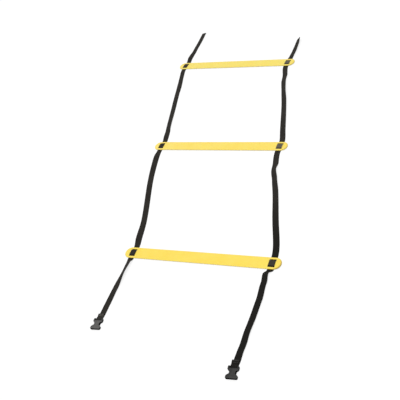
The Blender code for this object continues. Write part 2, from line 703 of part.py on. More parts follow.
def build_straps(axes):
    bays = (
        ("near", ("near", "middle"), NEAR_FOLD_PLACE, NEAR_BAY_SLACK_SHARE,
         {"left": LEFT_NEAR_BAY_SHARES, "right": RIGHT_NEAR_BAY_SHARES}, ("near_straps", "middle_straps")),
        ("far", ("middle", "far"), FAR_FOLD_PLACE, FAR_BAY_SLACK_SHARE,
         {"left": LEFT_FAR_BAY_SHARES, "right": RIGHT_FAR_BAY_SHARES}, ("middle_straps", "far_straps")),
    )
    for bay, rungs, fold_place, slack_share, shares, bodies in bays:
        parents = [axes[body] for body in bodies]
        for side in SIDES:
            build_bay(side, bay, rungs, fold_place, slack_share, shares[side], parents)
    for side in SIDES:
        for rung in RUNGS:
            build_weave(side, rung, axes[f"{rung}_rung"])
    build_buckle_tail("left", LEFT_BUCKLE_TAIL_SHARES, axes["near_straps"])
    build_buckle_tail("right", RIGHT_BUCKLE_TAIL_SHARES, axes["near_straps"])
    build_free_tail(
        "left", LEFT_FREE_TAIL_REACH, LEFT_FREE_TAIL_DRIFT, LEFT_FREE_TAIL_SHARES,
        LEFT_CUT_CORNER_RADIUS, axes["far_straps"])
    build_free_tail(
        "right", RIGHT_FREE_TAIL_REACH, RIGHT_FREE_TAIL_DRIFT, RIGHT_FREE_TAIL_SHARES,
        RIGHT_CUT_CORNER_RADIUS, axes["far_straps"])


def build_ladder():
    clear_scene()
    axes = build_axes()
    for rung in RUNGS:
        build_rung(rung, axes[f"{rung}_rung"])
    build_straps(axes)
    for side in SIDES:
        build_buckle(side, axes[f"{side}_buckle"])
        build_stitching(side, axes["near_straps"])
    pieces = [item for item in bpy.data.objects if item.type == "MESH" and not item.hide_render]
    low, high = lay_box(pieces)
    middle = (low + high) / 2
    axes["middle_straps"].location = (-middle[0], -middle[1], -low[2])
    bpy.context.view_layer.update()


build_ladder()
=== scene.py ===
# %% [markdown]
# # An agility ladder, laid out on a white floor
#
# Three flat yellow slats are threaded on two black straps. Each strap ends in half a buckle at the near
# side and in a bare, heat-cut end at the far side. The solids that carry and move the ladder already
# exist, so this lesson gives them their looks: woven webbing, moulded slats, buckles, thread and light.
# Everything is in metres, in the frame that the solids were made in.

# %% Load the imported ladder
import json
import math

import bpy
import numpy as np
from mathutils import Matrix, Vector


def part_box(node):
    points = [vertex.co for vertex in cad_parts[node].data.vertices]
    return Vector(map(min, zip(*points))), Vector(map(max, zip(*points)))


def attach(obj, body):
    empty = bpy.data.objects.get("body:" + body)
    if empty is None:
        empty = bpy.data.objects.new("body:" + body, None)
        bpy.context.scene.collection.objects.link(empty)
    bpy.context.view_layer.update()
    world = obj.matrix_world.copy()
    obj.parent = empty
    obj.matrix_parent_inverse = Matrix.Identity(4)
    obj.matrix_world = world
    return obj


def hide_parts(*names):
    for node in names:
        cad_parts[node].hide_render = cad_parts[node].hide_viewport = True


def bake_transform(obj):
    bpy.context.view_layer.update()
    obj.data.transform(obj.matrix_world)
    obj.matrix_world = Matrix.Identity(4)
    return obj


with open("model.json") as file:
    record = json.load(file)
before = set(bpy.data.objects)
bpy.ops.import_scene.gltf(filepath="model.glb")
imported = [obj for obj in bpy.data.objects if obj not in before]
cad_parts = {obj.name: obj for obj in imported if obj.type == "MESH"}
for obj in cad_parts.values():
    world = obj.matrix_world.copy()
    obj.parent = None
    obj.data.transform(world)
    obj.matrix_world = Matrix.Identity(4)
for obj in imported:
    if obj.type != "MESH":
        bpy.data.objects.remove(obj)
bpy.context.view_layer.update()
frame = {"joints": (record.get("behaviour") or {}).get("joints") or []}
JOINTS = {joint["name"]: joint for joint in frame["joints"]}
RUNG_NAMES = ("near", "middle", "far")
SIDES = {"left": -1, "right": 1}
UP = np.array([0.0, 0.0, 1.0])

# %% [markdown]
# ## The camera
#
# The photograph looks down on the ladder from its near right, and the camera was tilted sideways, so
# the slats run nearly level across the picture. A camera's own axes are its right, its up and the way
# back from what it sees. They are worked out from three angles here, so that no constraint is needed
# and the same numbers say what the photographer did: turn, look down, then roll.

# %% Set up the camera
CAMERA_PLACE = (1.0385, -1.3644, 1.3166)
CAMERA_HEADING = math.radians(41.007)
CAMERA_PITCH = math.radians(40.545)
CAMERA_ROLL = math.radians(26.482)
LENS = 56.56
SENSOR = 36


def camera_axes():
    """Right, up and back: level axes turned by the heading, tipped by the pitch, then rolled."""
    level = np.array([math.cos(CAMERA_HEADING), math.sin(CAMERA_HEADING), 0.0])
    ahead = np.cross(UP, level)
    forward = math.cos(CAMERA_PITCH) * ahead - math.sin(CAMERA_PITCH) * UP
    upright = math.sin(CAMERA_PITCH) * ahead + math.cos(CAMERA_PITCH) * UP
    right = math.cos(CAMERA_ROLL) * level - math.sin(CAMERA_ROLL) * upright
    up = math.sin(CAMERA_ROLL) * level + math.cos(CAMERA_ROLL) * upright
    return right, up, -forward


def stand(name, data, place, axes):
    """A camera or a lamp at a place, with its own three axes."""
    item = bpy.data.objects.new(name, data)
    item.matrix_world = Matrix.Translation(place) @ Matrix(np.column_stack(axes).tolist()).to_4x4()
    bpy.context.scene.collection.objects.link(item)
    return item


camera_data = bpy.data.cameras.new("camera")
camera_data.lens = LENS
camera_data.sensor_width = SENSOR
bpy.context.scene.camera = stand("camera", camera_data, CAMERA_PLACE, camera_axes())

# %% [markdown]
# ## The sizes that everything shares
#
# The slats' size and place are measured on the solids. The webbing's sizes are the ones that the solids
# were drawn with: 20 mm wide and 1.2 mm thick, with a hair of room wherever two pieces touch.

# %% Read the slats and name the webbing's sizes
STRAP_WIDTH = 0.020
STRAP_THICKNESS = 0.0012
TOUCH_GAP = 0.0003
STRAP_INSET = 0.028
BRIDGE_WIDTH = 0.015
SLOT_WIDTH = 0.006
WEAVE_REACH = 0.002

low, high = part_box("rung_middle")
RUNG_LENGTH, RUNG_WIDTH, RUNG_THICKNESS = high - low
RUNG_UNDERSIDE = low.z
RUNG_STRAIGHT = RUNG_LENGTH / 2 - RUNG_WIDTH / 2
STRAP_HALF_SPACING = RUNG_LENGTH / 2 - STRAP_INSET
STRAP_LIE = STRAP_THICKNESS / 2
WEAVE_END = RUNG_WIDTH / 2 + WEAVE_REACH
SLOT_OUTER = BRIDGE_WIDTH / 2 + SLOT_WIDTH
BRIDGE_LIE = RUNG_UNDERSIDE + RUNG_THICKNESS + TOUCH_GAP + STRAP_LIE


def rung_lie(rung):
    """Plan centre of a slat, the unit way of its straps, and the unit way along the slat."""
    corner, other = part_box(f"rung_{rung}")
    centre = np.array([(corner.x + other.x) / 2, (corner.y + other.y) / 2])
    way = np.array(JOINTS[f"{rung}_rung_slide"]["axis"][:2])
    way = way / np.linalg.norm(way)
    return centre, way, np.array([way[1], -way[0]])


RUNGS = {rung: rung_lie(rung) for rung in RUNG_NAMES}


def rung_point(rung, across, along):
    """Plan points of a slat: across is along its length, along is in the straps' way."""
    centre, way, side = RUNGS[rung]
    return centre + np.multiply.outer(across, side) + np.multiply.outer(along, way)


for rung, (centre, way, side) in RUNGS.items():
    print(f"{rung} slat at {centre.round(4)}, its straps run {way.round(4)}")

# %% [markdown]
# ## Meshes out of arrays
#
# Every piece below is a sheet of points worked out by a formula, so one helper turns an array of
# points and an array of quads into a Blender mesh. `foreach_set` copies whole arrays at once, which is
# far faster than adding one vertex at a time.


# %% Put arrays into a mesh
def quads_between(number):
    """Quads between neighbours in a grid of point numbers."""
    return np.stack([number[:-1, :-1], number[:-1, 1:], number[1:, 1:], number[1:, :-1]], -1)


def tube_quads(rows, columns):
    """Quads of a grid of rows whose last column meets the first."""
    number = np.arange(rows * columns).reshape(rows, columns)
    return quads_between(np.hstack([number, number[:, :1]])).reshape(-1, 4)


def make_piece(name, points, quads, material, caps=(), uv=None, masks=None):
    """A smooth-shaded object at the origin. caps are loops of point numbers, masks are values per point."""
    mesh = bpy.data.meshes.new(name)
    corners = np.concatenate([quads.ravel(), *caps]).astype(np.int32)
    sizes = np.concatenate([np.full(len(quads), 4), [len(cap) for cap in caps]]).astype(np.int32)
    starts = np.concatenate([[0], np.cumsum(sizes)[:-1]]).astype(np.int32)
    mesh.vertices.add(len(points))
    mesh.vertices.foreach_set("co", np.asarray(points, np.float32).ravel())
    mesh.loops.add(len(corners))
    mesh.loops.foreach_set("vertex_index", corners)
    mesh.polygons.add(len(sizes))
    mesh.polygons.foreach_set("loop_start", starts)
    mesh.update(calc_edges=True)
    if uv is not None:
        layer = mesh.uv_layers.new(name="lie")
        layer.uv.foreach_set("vector", np.asarray(uv, np.float32)[corners].ravel())
    for mask, values in (masks or {}).items():
        data = mesh.attributes.new(mask, "FLOAT", "POINT").data
        data.foreach_set("value", np.asarray(values, np.float32))
    mesh.shade_smooth()
    mesh.materials.append(material)
    item = bpy.data.objects.new(name, mesh)
    bpy.context.scene.collection.objects.link(item)
    return item


def declare_rigid(item, body, node):
    """What a rigid piece says of itself: its body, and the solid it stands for."""
    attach(item, body)
    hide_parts(node)


def unit(vectors):
    """Vectors scaled to length one, row by row."""
    return vectors / np.linalg.norm(vectors, axis=-1, keepdims=True)


# %% [markdown]
# ## How a strap lies
#
# Webbing on a floor never runs straight. Between two slats each strap leaves square to the first slat
# and arrives square to the second, which is what a cubic with a slope at both ends does. On top of
# that it wanders a few millimetres and tips up on one edge here and there. Each table below says so at
# a few places: how far along, the shift to the right in strap widths, and the lean as a share of a
# right angle. The solids lie by the same tables.

# %% The lie of every stretch
BUCKLE_TAIL_SHARES = {
    "left": ((0, 0, 0), (0.08, 0.04, 0.27), (0.24, 0.07, 0.35), (0.50, 0.05, 0.08), (0.75, 0.07, 0.01),
             (0.90, 0.08, 0), (1, 0, 0)),
    "right": ((0, 0, 0), (0.044, -0.43, 0.18), (0.15, -0.20, 0.13), (0.34, 0.06, 0.10),
              (0.52, 0.13, 0.11), (0.66, 0.10, 0.14), (0.78, 0.18, 0.10), (0.86, 0.13, 0.09),
              (0.93, 0.10, 0), (1, 0, 0)),
}
FREE_TAIL_SHARES = {
    "left": ((0, 0, 0), (0.16, -0.15, -0.15), (0.45, -0.09, 0.03), (0.72, 0.01, 0.03), (1, 0, 0.07)),
    "right": ((0, 0, 0), (0.13, 0.15, 0.13), (0.40, 0.29, 0.17), (0.70, 0.36, 0.25), (1, 0.34, 0.43)),
}
BAY_SHARES = {
    "near": {
        "left": ((0, 0, 0), (0.08, -0.05, -0.27), (0.25, 0.03, -0.09), (0.65, -0.12, -0.11),
                 (0.90, 0.06, -0.26), (1, 0, 0)),
        "right": ((0, 0, 0), (0.30, -0.19, 0.03), (0.58, -0.03, 0.13), (0.70, -0.09, 0.24),
                  (0.79, -0.22, 0.27), (0.88, 0.02, 0.02), (1, 0, 0)),
    },
    "far": {
        "left": ((0, 0, 0), (0.07, -0.03, -0.10), (0.19, -0.11, 0.10), (0.50, 0.01, 0.01),
                 (0.62, 0.08, 0.03), (0.74, 0.20, -0.05), (0.88, 0.15, 0.05), (1, 0, 0)),
        "right": ((0, 0, 0), (0.14, -0.09, 0.07), (0.50, 0.07, 0.19), (0.65, 0, 0.30),
                  (0.77, -0.03, 0.22), (0.87, 0.17, 0.13), (1, 0, 0)),
    },
}
BAY_SLACK_SHARE = {"near": 0.5, "far": 0.3}
TAIL_SLACK_SHARE = 0.5
RUN_POINTS = 400


def smooth_run(start, start_way, end, end_way, slack_share):
    """A cubic in plan: start and end mixed by 3t2 - 2t3, plus a pull along each end's way."""
    t = np.linspace(0.0, 1.0, RUN_POINTS)[:, None]
    pull = np.linalg.norm(end - start) * slack_share
    mix = 3 * t ** 2 - 2 * t ** 3
    leaving = (t ** 3 - 2 * t ** 2 + t) * pull * start_way
    arriving = (t ** 3 - t ** 2) * pull * end_way
    return start * (1 - mix) + end * mix + leaving + arriving


def distances(points):
    """How far along its run each point lies, in metres."""
    steps = np.linalg.norm(np.diff(points, axis=0), axis=1)
    return np.concatenate([[0.0], np.cumsum(steps)])


def between_rows(place, table, column):
    """A table's column, read between its rows with the same easing as a smooth step."""
    rows = np.array(table, float)
    row = np.clip(np.searchsorted(rows[:, 0], place, side="right") - 1, 0, len(rows) - 2)
    part = np.clip((place - rows[row, 0]) / (rows[row + 1, 0] - rows[row, 0]), 0.0, 1.0)
    eased = part * part * (3 - 2 * part)
    return rows[row, column] * (1 - eased) + rows[row + 1, column] * eased


def right_of(points):
    """Unit plan vectors square to a run, on its +X side."""
    way = unit(np.gradient(points, axis=0))
    side = np.column_stack([way[:, 1], -way[:, 0]])
    return side * np.sign(side[:, :1])


def lay_on_floor(points, shares):
    """Centres and side vectors: the run shifted sideways, then lifted as far as its lean asks. A shift
    skews the webbing and doesn't turn it, so the side vectors stay square to the run before the shift."""
    run = distances(points)
    place = run / run[-1]
    square = right_of(points)
    shifted = points + square * (between_rows(place, shares, 1) * STRAP_WIDTH)[:, None]
    lean = between_rows(place, shares, 2) * math.pi / 2
    lift = STRAP_WIDTH / 2 * np.abs(np.sin(lean)) + STRAP_LIE * np.cos(lean)
    return np.column_stack([shifted, lift, square * np.cos(lean)[:, None], np.sin(lean)])


# %% [markdown]
# ## Through a slat, and round a buckle's bar
#
# At each slat the strap dips under the rim, climbs through a slot, crosses the bridge and goes down
# again. Each climb is two equal arcs joined by a straight, tangent at both ends. At the buckle it
# loops round the bar and comes back on top of itself, where it is sewn down. Both are side views,
# drawn as distance and height, and then carried to their place on the floor.

# %% The side views of the weave and the loop
BEND_RADIUS = 0.0012
BEND_POINTS = 12
LOOP_RADIUS = 0.00265
FOLD_BACK_SLOPE = 0.009
FOLD_BACK_FLAT = 0.012
FOLD_BACK_BEND_RADIUS = 0.003
FOLD_BACK_SKEW = math.radians(2.5)
FOLD_BACK_LIE = STRAP_LIE + STRAP_THICKNESS + TOUCH_GAP
BAR_HEIGHT = JOINTS["left_buckle_swing"]["pos_m"][2]
FREE_TAIL_REACH = {"left": 0.2421, "right": 0.1528}
FREE_TAIL_DRIFT = {"left": -0.0128, "right": -0.0060}
BAYS = {"near": ("near", "middle"), "far": ("middle", "far")}


def s_bend(run, rise, radius):
    """Two equal arcs joined by a straight, from (0, 0) to (run, rise), level at both ends."""
    height = rise - 2 * radius
    angle = math.asin(2 * radius / math.hypot(run, height)) + math.atan2(height, run)
    turn = np.linspace(0.0, angle, BEND_POINTS)
    first = radius * np.column_stack([np.sin(turn), 1 - np.cos(turn)])
    return np.vstack([first, np.array([run, rise]) - first[::-1]])


def by_slat(side, rung, along):
    """The plan place of a strap at a slat, a way before or after the slat's middle."""
    return rung_point(rung, SIDES[side] * STRAP_HALF_SPACING, along)


def weave(side, rung):
    """One strap through one slat: the climb, its mirror image, and a level start and end."""
    climb = s_bend(SLOT_WIDTH, BRIDGE_LIE - STRAP_LIE, BEND_RADIUS) + [-SLOT_OUTER, STRAP_LIE]
    ends = [[-WEAVE_END, STRAP_LIE]], [[WEAVE_END, STRAP_LIE]]
    profile = np.vstack([ends[0], climb, climb[::-1] * [-1, 1], ends[1]])
    sides = np.tile([*RUNGS[rung][2], 0.0], (len(profile), 1))
    return np.column_stack([by_slat(side, rung, profile[:, 0]), profile[:, 1], sides])


def bay(side, name):
    """One strap from a slat's weave to the next one's."""
    first, second = BAYS[name]
    start = by_slat(side, first, WEAVE_END + TOUCH_GAP)
    end = by_slat(side, second, -WEAVE_END - TOUCH_GAP)
    run = smooth_run(start, RUNGS[first][1], end, RUNGS[second][1], BAY_SLACK_SHARE[name])
    return lay_on_floor(run, BAY_SHARES[name][side])


def buckle_place(side):
    """The bar's place, the unit way along it, and the plan way from it to the buckle's mouth."""
    swing = JOINTS[f"{side}_buckle_swing"]
    along_bar = unit(np.array(swing["axis"]))
    return np.array(swing["pos_m"]), along_bar, np.cross(UP, along_bar)


def fold_back(side):
    """From the cut end, along the top layer, down the slope and round the bar to its underside."""
    bar, along_bar, way = buckle_place(side)
    top = BAR_HEIGHT + LOOP_RADIUS
    turn = np.linspace(-math.pi / 2, math.pi / 2, 4 * BEND_POINTS)
    loop = np.column_stack([LOOP_RADIUS * np.cos(turn), BAR_HEIGHT + LOOP_RADIUS * np.sin(turn)])
    slope = s_bend(FOLD_BACK_SLOPE, top - FOLD_BACK_LIE, FOLD_BACK_BEND_RADIUS) * [-1, -1] + [0.0, top]
    end = [[-FOLD_BACK_SLOPE - FOLD_BACK_FLAT, FOLD_BACK_LIE]]
    profile = np.vstack([loop, slope[1:], end])[::-1]
    skew = np.clip(-profile[:, 0], 0.0, None) * math.tan(FOLD_BACK_SKEW)
    plan = bar[:2] + profile[:, :1] * way[:2] + skew[:, None] * along_bar[:2]
    return np.column_stack([plan, profile[:, 1], np.tile(-along_bar, (len(plan), 1))])


def buckle_tail(side):
    """From the underside of the bar back to the near slat."""
    bar, _, way = buckle_place(side)
    start = by_slat(side, "near", -WEAVE_END - TOUCH_GAP)
    run = smooth_run(start, -RUNGS["near"][1], bar[:2], way[:2], TAIL_SLACK_SHARE)
    return lay_on_floor(run, BUCKLE_TAIL_SHARES[side])[::-1]


def free_tail(side):
    """From the far slat to the cut end."""
    lean = np.array([FREE_TAIL_DRIFT[side], FREE_TAIL_REACH[side]])
    start = by_slat(side, "far", WEAVE_END + TOUCH_GAP)
    end = by_slat(side, "far", 0.0) + lean
    run = smooth_run(start, RUNGS["far"][1], end, unit(lean), TAIL_SLACK_SHARE)
    return lay_on_floor(run, FREE_TAIL_SHARES[side])


# %% [markdown]
# ## One long strap, cut where it has to move
#
# Each strap is a single length of webbing, so its centre line is put together end to end and measured
# once. The weave's pattern then runs through without a break. It is cut into pieces only afterwards:
# a piece that goes through a slat rides with that slat, a short piece lies at each fold line, and the
# rest lies between a slat and the strap it slides on.

# %% Join the stretches and mark where they meet
FOLD_PIECE_REACH = 0.017


def whole_strap(side):
    """The centre line with its side vectors, the distance along it, and the marks between stretches."""
    stretches = {
        "fold_back": fold_back(side),
        "buckle_tail": buckle_tail(side)[1:],
        "near_weave": weave(side, "near"),
        "near_bay": bay(side, "near"),
        "middle_weave": weave(side, "middle"),
        "far_bay": bay(side, "far"),
        "far_weave": weave(side, "far"),
        "free_tail": free_tail(side),
    }
    line = np.vstack(list(stretches.values()))
    run = distances(line[:, :3])
    last = dict(zip(stretches, np.cumsum([len(stretch) for stretch in stretches.values()]) - 1))
    marks = {name: run[number] for name, number in last.items()}
    for fold, (first, _) in BAYS.items():
        height = JOINTS[f"{fold}_fold"]["pos_m"][1]
        between = slice(last[f"{first}_weave"], last[f"{fold}_bay"])
        for word, reach in (("start", -FOLD_PIECE_REACH), ("end", FOLD_PIECE_REACH)):
            marks[f"{fold}_fold_{word}"] = np.interp(height + reach, line[between, 1], run[between])
    return line, run, marks


STRAPS = {side: whole_strap(side) for side in SIDES}
for side, (line, run, marks) in STRAPS.items():
    print(f"{side} strap is {run[-1]:.3f} m long, its near slat at {marks['near_weave']:.3f} m")

# %% [markdown]
# ## The woven surface
#
# Strap webbing is a twill: cords run along it, and each one floats over two picks and under two, one
# pick later than its neighbour, which draws diagonal lines across the band. Most of that could be
# faked in a material, but the ridges also catch the light at the silhouette, so they are real here.
# The surface has two parameters: how far along the strap, and how far round its section. Across the
# section there is a point on the crown of every cord and one in the valley beside it.

# %% Carry a woven section along a strap
CORDS = 16
PICK = 0.0009
FLOAT_PICKS = 4
RELIEF = 0.00012
CORD_ARCH_SHARE = 0.4
SELVEDGE_RADIUS = 0.0005
SELVEDGE_POINTS = 3
SELVEDGE_HEIGHT_SHARE = 0.85
BEND_STEP = 0.0003
LEVEL_STEP = PICK
CUT_ROUNDING = 0.0005
CUT_ROWS = 6
CUT_THIN_SHARE = 0.25
FUSED_REACH = 0.0018
CUT_CORNER = {"sewn": 0.0006, "left": 0.001, "right": 0.005}
SHORT_END = 0.05


def woven_section():
    """Round the section: across in metres, height from -1 to 1, the cord, and its crown or valley."""
    flat = STRAP_WIDTH / 2 - SELVEDGE_RADIUS
    columns = np.arange(2 * CORDS + 1)
    across = flat * (columns / CORDS - 1)
    turn = np.linspace(math.pi / 2, -math.pi / 2, SELVEDGE_POINTS + 2)[1:-1]
    edge_across, edge_height = flat + SELVEDGE_RADIUS * np.cos(turn), np.sin(turn) * SELVEDGE_HEIGHT_SHARE
    cord, crown = columns // 2, columns % 2
    level, none = np.ones(len(across)), np.zeros(SELVEDGE_POINTS)
    return {
        "across": np.concatenate([across, edge_across, across[::-1], -edge_across[::-1]]),
        "height": np.concatenate([level, edge_height, -level, -edge_height[::-1]]),
        "cord": np.concatenate([cord, none + CORDS, cord[::-1], none]),
        "crown": np.concatenate([crown, none, crown[::-1], none]),
    }


SECTION = woven_section()


def twill(along, cord, underside):
    """Height of a cord, 0 to 1: a cosine along the strap, a quarter turn later on each next cord."""
    phase = 2 * math.pi * (along / PICK + cord) / FLOAT_PICKS + math.pi * underside
    return 0.5 + 0.5 * np.cos(phase)


def from_cut_ends(run, length, far_end):
    """Per row: how far the webbing is fused, its thickness share, and its width in metres."""
    fused, thick, width = np.zeros(len(run)), np.ones(len(run)), np.full(len(run), STRAP_WIDTH)
    for distance, corner in ((run, CUT_CORNER["sewn"]), (length - run, CUT_CORNER[far_end])):
        fused = np.maximum(fused, np.clip(1 - distance / FUSED_REACH, 0, 1) ** 0.5)
        short = np.clip(1 - distance / CUT_ROUNDING, 0, 1)
        thick *= CUT_THIN_SHARE + (1 - CUT_THIN_SHARE) * np.sqrt(1 - short ** 2)
        away = np.clip(corner - distance, 0, corner)
        width -= 2 * (corner - np.sqrt(corner ** 2 - away ** 2))
    return fused, thick, width


def rows_between(start, end, step):
    return np.linspace(start, end, max(2, round((end - start) / step) + 1))


def cut_end_rows(end):
    """Rows from a cut end at 0 to a place along the strap: close together where the end is rounded."""
    close = CUT_ROUNDING * (1 - np.cos(np.linspace(0, math.pi / 2, CUT_ROWS)))
    fused = rows_between(CUT_ROUNDING, FUSED_REACH, BEND_STEP)[1:]
    corner = rows_between(FUSED_REACH, CUT_CORNER["right"], LEVEL_STEP / 2)[1:]
    rest = rows_between(CUT_CORNER["right"], end, BEND_STEP if end < SHORT_END else LEVEL_STEP)[1:]
    return np.concatenate([close, fused, corner, rest])


def woven_piece(name, side, rows, glare=0.0):
    """One cut of a strap: at each row of the grid stands the section, with its relief. glare is how much
    lighter the webbing is where it lies on a bridge."""
    line, run, _ = STRAPS[side]
    at = np.column_stack([np.interp(rows, run, column) for column in line.T])
    centres, across = at[:, :3], unit(at[:, 3:])
    way = unit(np.gradient(centres, rows, axis=0))
    normals = unit(np.cross(across, way))
    fused, thick, width = from_cut_ends(rows, run[-1], side)
    float_height = twill(rows[:, None], SECTION["cord"], SECTION["height"] < 0)
    relief = SECTION["crown"] * (CORD_ARCH_SHARE + (1 - CORD_ARCH_SHARE) * float_height)
    drop = RELIEF * (1 - relief) * (np.abs(SECTION["height"]) == 1) * (1 - fused)[:, None]
    height = (SECTION["height"] * STRAP_LIE - np.sign(SECTION["height"]) * drop) * thick[:, None]
    reach = SECTION["across"] * (width / STRAP_WIDTH)[:, None]
    points = centres[:, None] + across[:, None] * reach[..., None] + normals[:, None] * height[..., None]
    columns = len(SECTION["across"])
    uv = np.stack(np.broadcast_arrays(reach / STRAP_WIDTH + 0.5, rows[:, None] / STRAP_WIDTH), -1)
    ring = np.arange(columns)
    caps = [ring[::-1], ring + (len(rows) - 1) * columns]
    raised = np.clip(centres[:, 2] / BRIDGE_LIE, 0, 1) ** 4 * glare
    masks = {"fused": np.repeat(fused, columns), "glare": np.repeat(raised, columns)}
    quads = tube_quads(len(rows), columns)
    return make_piece(name, points.reshape(-1, 3), quads, WEBBING[side], caps, uv.reshape(-1, 2), masks)


# %% [markdown]
# ## Shader helpers
#
# A node tree is easier to read when each line adds one node. `Nodes` below wraps a tree: its methods
# add a node, connect what they are given, and hand back the output.


# %% Write node trees in short lines
class Nodes:
    """A node tree, and short calls that add to it."""

    def __init__(self, tree):
        self.tree = tree

    def feed(self, sockets, values):
        """Each value into its socket: a link from another node's output, or a plain value."""
        for key, value in values.items():
            if isinstance(value, bpy.types.NodeSocket):
                self.tree.links.new(value, sockets[key])
            else:
                sockets[key].default_value = value

    def add(self, kind, inputs=None, out=0, **settings):
        """One node, and its output, or all of them where out is None. Settings are its own properties."""
        node = self.tree.nodes.new(f"ShaderNode{kind}")
        for key, value in settings.items():
            setattr(node, key, value)
        self.feed(node.inputs, inputs or {})
        return node.outputs if out is None else node.outputs[out]

    def math(self, operation, *values, clamp=False):
        return self.add("Math", dict(enumerate(values)), operation=operation, use_clamp=clamp)

    def times(self, first, second):
        return self.math("MULTIPLY", first, second)

    def mix(self, factor, first, second):
        """A colour between two colours."""
        colours = [value if isinstance(value, bpy.types.NodeSocket) else (*value, 1.0)
                   for value in (first, second)]
        return self.add("Mix", {0: factor, 6: colours[0], 7: colours[1]}, out=2, data_type="RGBA")

    def noise(self, vector, scale, detail=3.0, roughness=0.5):
        inputs = {"Vector": vector, "Scale": scale, "Detail": detail, "Roughness": roughness}
        return self.add("TexNoise", inputs)

    def ramp(self, value, low, high, low_to=0.0, high_to=1.0):
        """A smooth step from low to high."""
        inputs = {"Value": value, "From Min": low, "From Max": high, "To Min": low_to, "To Max": high_to}
        return self.add("MapRange", inputs, interpolation_type="SMOOTHSTEP")

    def mask(self, name):
        """A value that the mesh carries at its points."""
        return self.add("Attribute", attribute_name=name, out="Fac")

    def own_place(self, middle, turn=0.0):
        """The place on a piece, measured from its own middle and along its own length."""
        inputs = {"Vector": self.add("TexCoord", out="Object"), "Location": tuple(middle),
                  "Rotation": (0.0, 0.0, turn)}
        return self.add("Mapping", inputs, vector_type="TEXTURE")

    def bump(self, height, strength, distance):
        return self.add("Bump", {"Height": height, "Strength": strength, "Distance": distance})


def shader_group(name, inputs, outputs):
    """An empty group, as Nodes, what it is given and what it makes. An input without a value is a place."""
    tree = bpy.data.node_groups.new(name, "ShaderNodeTree")
    for label, value in inputs.items():
        kind = "NodeSocketVector" if value is None else "NodeSocketFloat"
        socket = tree.interface.new_socket(label, in_out="INPUT", socket_type=kind)
        if value is not None:
            socket.default_value = value
    for label in outputs:
        tree.interface.new_socket(label, in_out="OUTPUT", socket_type="NodeSocketFloat")
    return Nodes(tree), tree.nodes.new("NodeGroupInput").outputs, tree.nodes.new("NodeGroupOutput").inputs


def new_material(name):
    """A material with its Principled shader, as Nodes and the shader's inputs."""
    material = bpy.data.materials.new(name)
    material.use_nodes = True
    return material, Nodes(material.node_tree), material.node_tree.nodes["Principled BSDF"].inputs


# %% [markdown]
# ## Effects that several materials share
#
# Moulded plastic has a faint grain and a slow unevenness from the way it cooled. Anything that is
# dragged over a floor gets fine scratches, and its edges rub to a lighter, duller tone. Each of the
# three is a node group that puts out numbers only, so every material can use it with its own colours.

# %% Build the shared groups
GRAIN_SHARE = 0.35
SCRATCH_TURNS_AND_STRETCHES = ((0.35, 22.0), (-0.9, 16.0), (1.35, 30.0))
SCRATCH_HALF = 0.012


def grain_group():
    """Height of a fine grain on slow waves, and the slow waves alone."""
    nodes, given, made = shader_group(
        "moulded_grain", {"Place": None, "Grain Scale": 1500.0, "Wave Scale": 18.0}, ["Height", "Waves"])
    fine = nodes.noise(given["Place"], given["Grain Scale"], detail=2.0)
    slow = nodes.noise(given["Place"], given["Wave Scale"], detail=2.0)
    nodes.feed(made, {"Height": nodes.math("MULTIPLY_ADD", fine, GRAIN_SHARE, slow), "Waves": slow})
    return nodes.tree


def scuff_group():
    """Sparse fine scratches: stretched noises, turned different ways, cut to their middle lines."""
    nodes, given, made = shader_group("scuffs", {"Place": None, "Scale": 60.0, "Amount": 0.5}, ["Scratch"])
    most = None
    for turn, stretch in SCRATCH_TURNS_AND_STRETCHES:
        placed = nodes.add("Mapping", {
            "Vector": given["Place"], "Rotation": (0.0, 0.0, turn), "Scale": (1.0, stretch, 1.0)})
        field = nodes.noise(placed, given["Scale"], detail=1.0)
        thin = nodes.math("ABSOLUTE", nodes.math("SUBTRACT", field, 0.5))
        scratches = nodes.ramp(thin, 0.0, SCRATCH_HALF, low_to=1.0, high_to=0.0)
        most = scratches if most is None else nodes.math("MAXIMUM", most, scratches)
    patches = nodes.ramp(nodes.noise(given["Place"], scale=9.0), low=0.52, high=0.72)
    scratch = nodes.math("MULTIPLY", nodes.times(most, patches), given["Amount"], clamp=True)
    nodes.feed(made, {"Scratch": scratch})
    return nodes.tree


def worn_edge_group():
    """Where an edge is rubbed: its mask, broken up by noise."""
    nodes, given, made = shader_group("worn_edge", {"Place": None, "Edge": 0.0, "Amount": 0.5}, ["Worn"])
    rough = nodes.noise(given["Place"], scale=70.0, detail=5.0, roughness=0.65)
    patches = nodes.ramp(rough, low=0.42, high=0.62)
    worn = nodes.math("MULTIPLY", nodes.times(patches, given["Edge"]), given["Amount"], clamp=True)
    nodes.feed(made, {"Worn": worn})
    return nodes.tree


GRAIN, SCUFFS, WORN_EDGE = grain_group(), scuff_group(), worn_edge_group()


def moulded(nodes, place, grain, scuffs, wear):
    """What both plastics share: the grain's outputs, the scratches, and all that is rubbed."""
    grain = nodes.add("Group", {"Place": place, **grain}, out=None, node_tree=GRAIN)
    scratch = nodes.add("Group", {"Place": place, **scuffs}, node_tree=SCUFFS)
    edge = {"Place": place, "Edge": nodes.mask("edge"), "Amount": wear}
    return grain, scratch, nodes.math("MAXIMUM", nodes.add("Group", edge, node_tree=WORN_EDGE), scratch)
